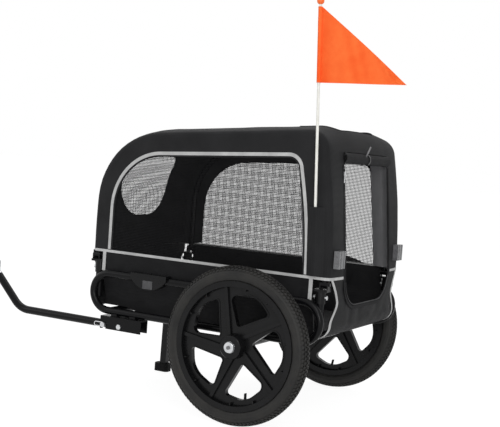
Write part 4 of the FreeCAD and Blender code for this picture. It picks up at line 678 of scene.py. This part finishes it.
tub = {"top": 384.7, "knee": 318, "low": 235.3, "half": 239.0, "footHalf": 214.3, "front": 470, "rear": -166,
       "cloth": 2.0, "sag": 4.0, "hemDrop": 12.0, "hemStart": 405, "hemRun": 65, "floorSag": 1.5,
       "crease": 3.2, "creaseSize": 110, "creaseTop": 30, "creaseFoot": 234.5, "creaseFootRun": 20}
apron = {"front": 505, "rear": -215, "top": 229, "waist": 193, "waistZ": 325, "foot": 222, "flare": 55,
         "frontWider": 22, "turn": 36, "sideGap": 2, "frontSink": 0.6, "crease": 2.56, "creaseSize": 90}


def skirtSpot(share):  # across and height of the skirt's outer face, down from the belt
    upper = tub["top"] - tub["knee"]
    lower = math.hypot(tub["half"] - tub["footHalf"], tub["knee"] - tub["low"])
    run = share * (upper + lower)
    if run < upper:
        return tub["half"], tub["top"] - run
    t = (run - upper) / lower
    sag = tub["sag"] * math.sin(math.pi * t)
    return tub["half"] + (tub["footHalf"] - tub["half"]) * t - sag, tub["knee"] + (tub["low"] - tub["knee"]) * t


def slack(mesh, mm, sizeMm, seed):  # creases that only go inwards, clear of the tubes outside, fading at both edges
    for point in mesh.verts:
        z, spot = point.co.z * 1000, point.co * (1000 / sizeMm)
        loose = min(1, (tub["top"] - z) / tub["creaseTop"], (z - tub["creaseFoot"]) / tub["creaseFootRun"])
        fold = 1 - abs(noise.noise(Vector((spot.x * 1.4 + spot.z * 0.5, spot.y * 1.4, spot.z * 0.7 + seed))))
        fold = fold ** 4 + 0.4 * abs(noise.noise(spot * 2.6 + Vector((seed, 0, 0))))
        point.co -= point.normal * (mm / 1000) * fold * max(0, loose)


def makeSkirt(side, sign):
    rows, columns = 64, 22

    def place(i, j):
        x = tub["rear"] + (tub["front"] - tub["rear"]) * i / rows
        y, z = skirtSpot(j / columns)
        sink = min(1, max(0, (tub["hemStart"] - x) / tub["hemRun"]))  # the hem is low behind the front corner
        return at(x, sign * y, z - tub["hemDrop"] * ease(sink) * max(0, 2 * j / columns - 1) ** 2)

    mesh = formGrid(rows, columns, place)
    faceAway(mesh, tubMiddle)
    slack(mesh, tub["crease"], tub["creaseSize"], 5 + sign)
    made = piece(f"{side}_tub_skirt", mesh, shadedTubCloth)
    giveWall(made, tub["cloth"], 50)
    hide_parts(f"{side}_skirt")


def rearApronHalf(z):
    waist, waistZ = apron["waist"], apron["waistZ"]
    if z > waistZ:
        return waist + (apron["top"] - waist) * ((z - waistZ) / (tub["top"] - waistZ)) ** 1.3
    return waist + (apron["foot"] - waist) * ease(min(1, (waistZ - z) / apron["flare"]))


def apronHalf(z, way):  # the aprons are waisted between the belt and the floor, the front one wider
    return min(tub["half"] - apron["sideGap"], rearApronHalf(z) + (apron["frontWider"] if way > 0 else 0))


def apronSpot(faceX, way, share):  # down from the belt, then round into the floor
    turn = apron["turn"]
    drop = tub["top"] - tub["low"] - turn
    run = share * (drop + turn * math.pi / 2)
    if run < drop:
        return faceX, tub["top"] - run
    angle = (run - drop) / turn
    return faceX - way * turn * (1 - math.cos(angle)), tub["low"] + turn - turn * math.sin(angle)


def apronBulge(way, y, share):  # the aprons' tops follow the cabin's front and rear
    across = abs(y) / cabin["half"]
    if way > 0:
        return cabin["frontBulge"] * (1 - across ** 4) * max(0, 1 - 2 * share) ** 2 - apron["frontSink"]
    return cabin["rearBulge"] * across ** 6


def makeApron(name, faceX, way, node, cutters):
    rows, columns = 34, 40

    def place(i, j):
        x, z = apronSpot(faceX, way, i / rows)
        y = apronHalf(z, way) * (2 * j / columns - 1)
        return at(x + apronBulge(way, y, i / rows), y, z)

    mesh = formGrid(rows, columns, place)
    faceAway(mesh, tubMiddle)
    slack(mesh, apron["crease"], apron["creaseSize"], 11 * way)
    made = piece(name, mesh, shadedTubCloth)
    thicken(made, tub["cloth"])
    cutAway(made, cutters)
    crisp(made, 50)
    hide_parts(node)


def makeFloorCloth():
    rows, columns = 40, 26
    front, rear = apron["front"] - apron["turn"], apron["rear"] + apron["turn"]

    def place(i, j):
        x, y = rear + (front - rear) * i / rows, tub["footHalf"] * (2 * j / columns - 1)
        slackness = math.sin(math.pi * i / rows) * math.sin(math.pi * j / columns)
        return at(x, y, tub["low"] - tub["floorSag"] * slackness)

    mesh = formGrid(rows, columns, place)
    faceAway(mesh, tubMiddle)
    made = piece("tub_floor", mesh, shadedTubCloth)
    thicken(made, tub["cloth"])
    settle(made)
    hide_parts("floor_cloth")


def makeTubTapes():
    strips = []
    rows = 30
    for faceX, way in ((apron["front"], 1), (apron["rear"], -1)):
        for sign in (1, -1):
            outer, inner = [], []
            for i in range(rows + 1):
                x, z = apronSpot(faceX, way, i / rows)
                half = apronHalf(z, way)
                for row, y in ((outer, half), (inner, half - tape["edge"])):
                    row.append(at(x + apronBulge(way, y, i / rows), sign * y, z))
            strips.append(ribbon(outer, inner, tubMiddle))
    for x in (tub["front"] - tape["edge"], tub["rear"]):
        for sign in (1, -1):
            spots = [skirtSpot(i / rows * tape["edgeLow"]) for i in range(rows + 1)]
            rear, front = [[at(x + step, sign * (y + tape["clear"]), z) for y, z in spots]
                           for step in (0, tape["edge"])]
            strips.append(ribbon(rear, front, tubMiddle))
    made = piece("tub_edge_tape", gather(strips), tapeCloth)
    giveWall(made, tape["edgeThick"], offset=1)


for side, sign in sides:
    makeSkirt(side, sign)
makeApron("rear_tub_apron", apron["rear"], -1, "rear_apron", [uprightCutter(door)])
makeApron("front_tub_apron", apron["front"], 1, "front_apron", [])
makeFloorCloth()
makeTubTapes()
print("tub made")

zipper = {"tape": 9.0, "edge": 2.0, "thick": 0.8, "toothPitch": 4.0, "tooth": (1.8, 2.6, 2.4), "top": 668,
          "piping": 1.7, "proud": 0.2, "toothLift": 1.0, "pipingLift": 0.6}


def doorLine(grow):  # across, height and outward way along the door's edge, from left top to right top
    half, low, bend = door["half"] + grow, door["low"] - grow, door["round"] + grow
    spots = [(half, zipper["top"] - (zipper["top"] - low - bend) * i / 24, 1, 0) for i in range(24)]
    for i in range(11):
        a = math.pi / 20 * i
        spots.append((half - bend + bend * math.cos(a), low + bend - bend * math.sin(a), math.cos(a), -math.sin(a)))
    spots += [((half - bend) * (1 - i / 8), low, 0, -1) for i in range(1, 9)]
    return spots + [(-y, z, -wayY, wayZ) for y, z, wayY, wayZ in spots[-2::-1]]


def zipRun(spots):  # tape and teeth along a stretch of the door's edge
    inner = [at(rearX(y, z) - zipper["proud"], y, z) for y, z, wayY, wayZ in spots]
    outer = []
    for y, z, wayY, wayZ in spots:
        farY, farZ = y + wayY * zipper["tape"], z + wayZ * zipper["tape"]
        outer.append(at(rearX(farY, farZ) - zipper["proud"], farY, farZ))
    strip = ribbon(inner, outer, cabinMiddle)
    bmesh.ops.solidify(strip, geom=strip.faces, thickness=-zipper["thick"] / 1000)
    bmesh.ops.recalc_face_normals(strip, faces=strip.faces)
    run, carry = [], 0.0
    for a, b, spot, following in zip(inner, inner[1:], spots, spots[1:]):
        length = (b - a).length * 1000
        while carry < length:
            share = carry / length
            run.append((a.lerp(b, share), Vector(spot[2:]).lerp(Vector(following[2:]), share).normalized()))
            carry += zipper["toothPitch"]
        carry -= length
    for middle, way in run:
        out = Vector((0, way.x, way.y))
        lift = Vector((-1, 0, 0))
        turn = Matrix((lift, out, lift.cross(out))).transposed().to_4x4()
        place = Matrix.Translation(middle + lift * zipper["toothLift"] / 1000)
        bmesh.ops.create_cube(strip, size=1, matrix=place @ turn @ sized(zipper["tooth"]))
    return strip


def makePiping(spots):  # thin round piping along the apron's cut edge
    def place(i, j):
        y, z, wayY, wayZ = spots[i]
        a = 2 * math.pi * j / 8
        middle = at(rearX(y, z) - zipper["pipingLift"], y, z)
        return middle + Vector((-math.cos(a), wayY * math.sin(a), wayZ * math.sin(a))) * zipper["piping"] / 1000

    mesh = formGrid(len(spots) - 1, 8, place)
    bmesh.ops.holes_fill(mesh, edges=[edge for edge in mesh.edges if edge.is_boundary], sides=0)
    bmesh.ops.recalc_face_normals(mesh, faces=mesh.faces)
    # the piping's lighter grey is a painted highlight along the door's edge
    made = piece("door_piping", mesh, highlightPipingCloth)
    crisp(made, 60)


def makeZip():  # the part above the belt goes down with the cabin, the rest stays on the apron
    spots = doorLine(zipper["edge"])
    under = [i for i, spot in enumerate(spots) if spot[1] < cabin["belt"]]
    first, last = under[0], under[-1]
    made = piece("door_zip", gather([zipRun(spots[:first]), zipRun(spots[last + 1:])]), zipCloth)
    crisp(made)
    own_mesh(made)
    foot = piece("door_zip_foot", zipRun(spots[first - 1:last + 2]), zipCloth)
    crisp(foot)
    makePiping(doorLine(0.3)[first:last + 1])


makeZip()

roll = {"x": -180.8, "z": 683.7, "radius": 15.6, "core": 4.0, "turns": 2.75, "half": 155, "cloth": 1.4,
        "endAngle": 1.9, "lump": 0.7, "endWander": 1.8,
        "tieReach": 11, "tiePinch": 1.1, "tieWidth": 8, "tieThick": 0.9,
        "toggle": (3.6, 3.6, 38), "togglePlace": (-13.5, 13, 22), "toggleLean": 0.8, "toggleEdge": 1.2}


def aroundRoll(angle, radius, y):
    return at(roll["x"] + radius * math.cos(angle), y, roll["z"] + radius * math.sin(angle))


def makeRoll():  # the door's cloth wound up above its opening
    rows, columns = 96, 30

    def place(i, j):
        share, y = i / rows, roll["half"] * (2 * j / columns - 1)
        angle = 2 * math.pi * roll["turns"] * (1 - share) + roll["endAngle"]
        radius = roll["core"] + (roll["radius"] - roll["core"]) * share
        tie = math.exp(-(y / roll["tieReach"]) ** 2)
        radius += roll["lump"] * noise.noise(Vector((y / 34, angle / 3, share * 2))) - roll["tiePinch"] * tie * share
        y += roll["endWander"] * noise.noise(Vector((share * 5, 3.3, j * 0.01)))
        return aroundRoll(angle, radius, y)

    mesh = formGrid(rows, columns, place)
    mesh.normal_update()
    made = piece("rolled_door", mesh, shadedRollCloth)
    giveWall(made, roll["cloth"], 60)
    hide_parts("door_roll")
    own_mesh(made)


def makeTie():
    def around(i, j):
        radius = roll["radius"] - 0.2 + 0.3 * math.sin(3 * math.pi * i / 20)
        return aroundRoll(2 * math.pi * i / 40, radius, roll["tieWidth"] * (j / 3 - 0.5))

    band = formGrid(40, 3, around)
    faceAway(band, at(roll["x"], 0, roll["z"]))
    bmesh.ops.solidify(band, geom=band.faces, thickness=-roll["tieThick"] / 1000)
    bmesh.ops.recalc_face_normals(band, faces=band.faces)
    toggle = bmesh.new()
    x, y, z = roll["togglePlace"]
    place = Matrix.Translation(at(roll["x"] + x, y, roll["z"] + z)) @ Matrix.Rotation(roll["toggleLean"], 4, "X")
    bmesh.ops.create_cube(toggle, size=1, matrix=place @ sized(roll["toggle"]))
    bmesh.ops.bevel(toggle, geom=toggle.edges, affect="EDGES", offset=roll["toggleEdge"] / 1000, segments=3,
                    profile=0.5, material=-1)
    for name, mesh, material in (("roll_ties", band, nylon), ("roll_toggle", toggle, greyPlastic)):
        made = piece(name, mesh, material)
        crisp(made)
        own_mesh(made)


makeRoll()
makeTie()
print("door made")

tyre = {"track": 302.5, "ring": 178, "section": 22, "wall": 4, "open": 40, "flat": 3.2, "steps": 144, "blocks": 112,
        "rows": (-52, -31, -10, 10, 31, 52), "block": (6.6, 5.6, 4.2), "blockSkew": 12, "axle": 200,
        "ridges": (1.32, 1.62, 1.95), "ridge": 0.55, "ridgeReach": 0.035}


def tyreReach(a):  # section radius at an angle from the tread's middle, lower under the tread blocks
    ridges = sum(math.exp(-((abs(a) - spot) / tyre["ridgeReach"]) ** 2) for spot in tyre["ridges"])
    return tyre["section"] - tyre["flat"] * max(0, math.cos(a)) ** 1.3 + tyre["ridge"] * ridges


def makeTyre(side, sign):
    centre = at(0, sign * tyre["track"], tyre["axle"])
    end = math.pi - math.radians(tyre["open"])
    outside = [(a, tyreReach(a)) for a in [end * (2 * i / 110 - 1) for i in range(111)]]
    inside = [(a, tyre["section"] - tyre["wall"]) for a in [end * (1 - 2 * i / 24) for i in range(25)]]
    mesh = bmesh.new()
    ring = [mesh.verts.new(centre + Vector((tyre["ring"] + reach * math.cos(a), reach * math.sin(a), 0)) / 1000)
            for a, reach in outside + inside]
    for a, b in zip(ring, ring[1:] + ring[:1]):
        mesh.edges.new((a, b))
    bmesh.ops.spin(mesh, geom=list(mesh.verts) + list(mesh.edges), cent=centre, axis=(0, 1, 0), angle=2 * math.pi,
                   steps=tyre["steps"], use_merge=True)
    bmesh.ops.recalc_face_normals(mesh, faces=mesh.faces)
    for line, degrees in enumerate(tyre["rows"]):
        a = math.radians(degrees)
        for i in range(tyre["blocks"]):
            turn = 2 * math.pi * (i + 0.5 * (line % 2)) / tyre["blocks"]
            radial = Vector((math.cos(turn), 0, math.sin(turn)))
            out = radial * math.cos(a) + Vector((0, math.sin(a), 0))
            along = Vector((-math.sin(turn), 0, math.cos(turn)))
            frameTurn = Matrix((along, out.cross(along), out)).transposed().to_4x4()
            top = tyre["section"] + 0.1 * abs(line - 2.5)
            spot = centre + radial * (tyre["ring"] / 1000) + out * ((top - tyre["block"][2] / 2) / 1000)
            skew = Matrix.Rotation(math.radians(tyre["blockSkew"] * (1 if line % 2 else -1)), 4, "Z")
            place = Matrix.Translation(spot) @ frameTurn @ skew
            bmesh.ops.create_cube(mesh, size=1, matrix=place @ sized(tyre["block"]))
    made = piece(f"{side}_tread_tyre", mesh, tyreRubber, f"{side}_wheel")
    crisp(made, 30)
    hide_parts(f"{side}_tyre")


rim = {"turned": {"left": 13.5, "right": 0.0}, "twist": 16.0, "hub": 42, "barrel": 146}


def turnWheel(name, node, side, material):  # a copy of a wheel part, turned on its axle, its spokes set askew
    mesh, hub = copyOf(node), at(0, 0, tyre["axle"])
    for point in mesh.verts:
        out = (point.co - hub).xz.length * 1000
        share = min(1, max(0, (rim["barrel"] - out) / (rim["barrel"] - rim["hub"])))
        turn = Matrix.Rotation(math.radians(rim["turned"][side] + rim["twist"] * share), 3, "Y")
        point.co = hub + turn @ (point.co - hub)
    made = piece(name, mesh, material, f"{side}_wheel")
    crisp(made, 9)
    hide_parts(node)


for side, sign in sides:
    makeTyre(side, sign)
    turnWheel(f"{side}_spoked_rim", f"{side}_rim", side, nylon)
    turnWheel(f"{side}_valve_tube", f"{side}_inner_tube", side, softRubber)
print("wheels made")

flag = {"footX": -170, "y": 246.3, "footZ": 395.5, "lean": 0.056, "low": 861, "high": 1044, "fly": 225, "hem": 5.4,
        "cloth": 0.7, "wave": 3.2, "hemLap": 0.6,
        "pocketLow": 391.5, "pocketTop": 560, "pocketHalf": 27, "pocketDepth": 12.8, "pocketCloth": 1.2,
        "pocketGap": 0.3, "pocketFoot": 385}


def poleX(z):
    return flag["footX"] + (z - flag["footZ"]) * flag["lean"]


def makePennant():
    rows, columns = 14, 34

    def place(i, j):
        up, out = i / rows, j / columns
        z = flag["low"] + (flag["high"] - flag["low"]) * up * (1 - out)
        x = (poleX(z) - flag["hem"] + flag["hemLap"]) * (1 - out) + (poleX(flag["low"]) - flag["fly"]) * out
        sway = flag["wave"] * math.sin(2.2 * math.pi * out + 1.1 * up) * out ** 0.7
        return at(x, flag["y"] + sway, z)

    mesh = formGrid(rows, columns, place)
    faceAway(mesh, at(-250, 0, 900))

    def around(i, j):
        angle, z = 2 * math.pi * i / 24, flag["low"] + (flag["high"] - flag["low"]) * j / 12
        radius = flag["hem"] * (1 + 0.05 * noise.noise(Vector((z / 18, angle, 0))))
        return at(poleX(z) + radius * math.cos(angle), flag["y"] + radius * math.sin(angle), z)

    hem = formGrid(24, 12, around)
    faceAway(hem, at(poleX(950), flag["y"], 950))
    made = piece("pennant_cloth", gather([mesh, hem]), flagCloth, "pennant")
    giveWall(made, flag["cloth"], 50)
    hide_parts("flag_pennant")


def makePocket():
    rows, columns = 20, 14

    def place(i, j):
        z = flag["pocketLow"] + (flag["pocketTop"] - flag["pocketLow"]) * i / rows
        share = 2 * j / columns - 1
        depth = flag["pocketDepth"] * math.cos(math.pi / 2 * share) ** 2
        return at(poleX(z) + flag["pocketHalf"] * share, cabin["half"] + flag["pocketGap"] + depth, z)

    mesh = formGrid(rows, columns, place)
    faceAway(mesh, at(poleX(470), 230, 470))
    made = piece("flag_pocket", mesh, cabinCloth)
    giveWall(made, flag["pocketCloth"], 60)
    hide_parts("flag_sleeve")
    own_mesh(made)


makePennant()
makePocket()
print("flag made")

studio = {"air": "#f4f5f6", "floor": "#f2f2f2", "wide": 40.0, "world": 0.5, "glow": 0.93, "shade": "#7a7a7a",
          "aim": (0, 0, 0.4),
          "lamps": (("key", (-2.6, 3.2, 3.4), 2.4, 50), ("fill", (3.4, 2.6, 2.0), 2.4, 24),
                    ("top", (0.2, -0.8, 3.6), 2.6, 34), ("front", (-2.2, 3.2, 0.9), 1.2, 30))}


def mixWhenSeen(tree, lit, seen):  # one shader for light, another for the camera, reflections and glass
    rays = add(tree, "LightPath").outputs
    either = add(tree, "Math", {0: rays["Is Camera Ray"], 1: rays["Is Glossy Ray"]}, operation="MAXIMUM")
    either = add(tree, "Math", {0: either.outputs[0], 1: rays["Is Transmission Ray"]}, operation="MAXIMUM")
    return add(tree, "MixShader", {0: either.outputs[0], 1: lit.outputs[0], 2: seen.outputs[0]}).outputs[0]


def makeStudio():
    scene = bpy.context.scene
    world = bpy.data.worlds.new("softRoom")
    scene.world = world
    world.use_nodes = True
    tree = world.node_tree
    air = tree.nodes["Background"]
    air.inputs["Color"].default_value, air.inputs["Strength"].default_value = linear(studio["air"]), studio["world"]
    plain = add(tree, "Background", {"Color": (1, 1, 1, 1), "Strength": 1})
    tree.links.new(mixWhenSeen(tree, air, plain), tree.nodes["World Output"].inputs["Surface"])
    mesh = bmesh.new()
    bmesh.ops.create_grid(mesh, x_segments=1, y_segments=1, size=studio["wide"])
    data = bpy.data.meshes.new("paleFloor")
    mesh.to_mesh(data)
    mesh.free()
    ground = bpy.data.objects.new("paleFloor", data)
    scene.collection.objects.link(ground)
    paper, paperTree, shader = finish("matPaper", **{"Base Color": linear(studio["floor"]), "Roughness": 0.9})
    # smooth matt paper: white where it is seen, and grey only in the object's shadow
    glow = add(paperTree, "Emission", {"Color": (1, 1, 1, 1), "Strength": studio["glow"]})
    shade = add(paperTree, "BsdfDiffuse", {"Color": linear(studio["shade"])})
    both = add(paperTree, "AddShader", {0: glow.outputs[0], 1: shade.outputs[0]})
    paperTree.links.new(mixWhenSeen(paperTree, shader, both), paperTree.nodes["Material Output"].inputs["Surface"])
    data.materials.append(paper)
    for name, place, size, watts in studio["lamps"]:
        lamp = bpy.data.lights.new(name, "AREA")
        lamp.size, lamp.energy = size, watts
        holder = bpy.data.objects.new(name, lamp)
        holder.location = place
        holder.rotation_euler = (Vector(studio["aim"]) - Vector(place)).to_track_quat("-Z", "Y").to_euler()
        scene.collection.objects.link(holder)
    scene.view_settings.view_transform = "Standard"


makeStudio()
bpy.context.view_layer.update()
print("scene ready")
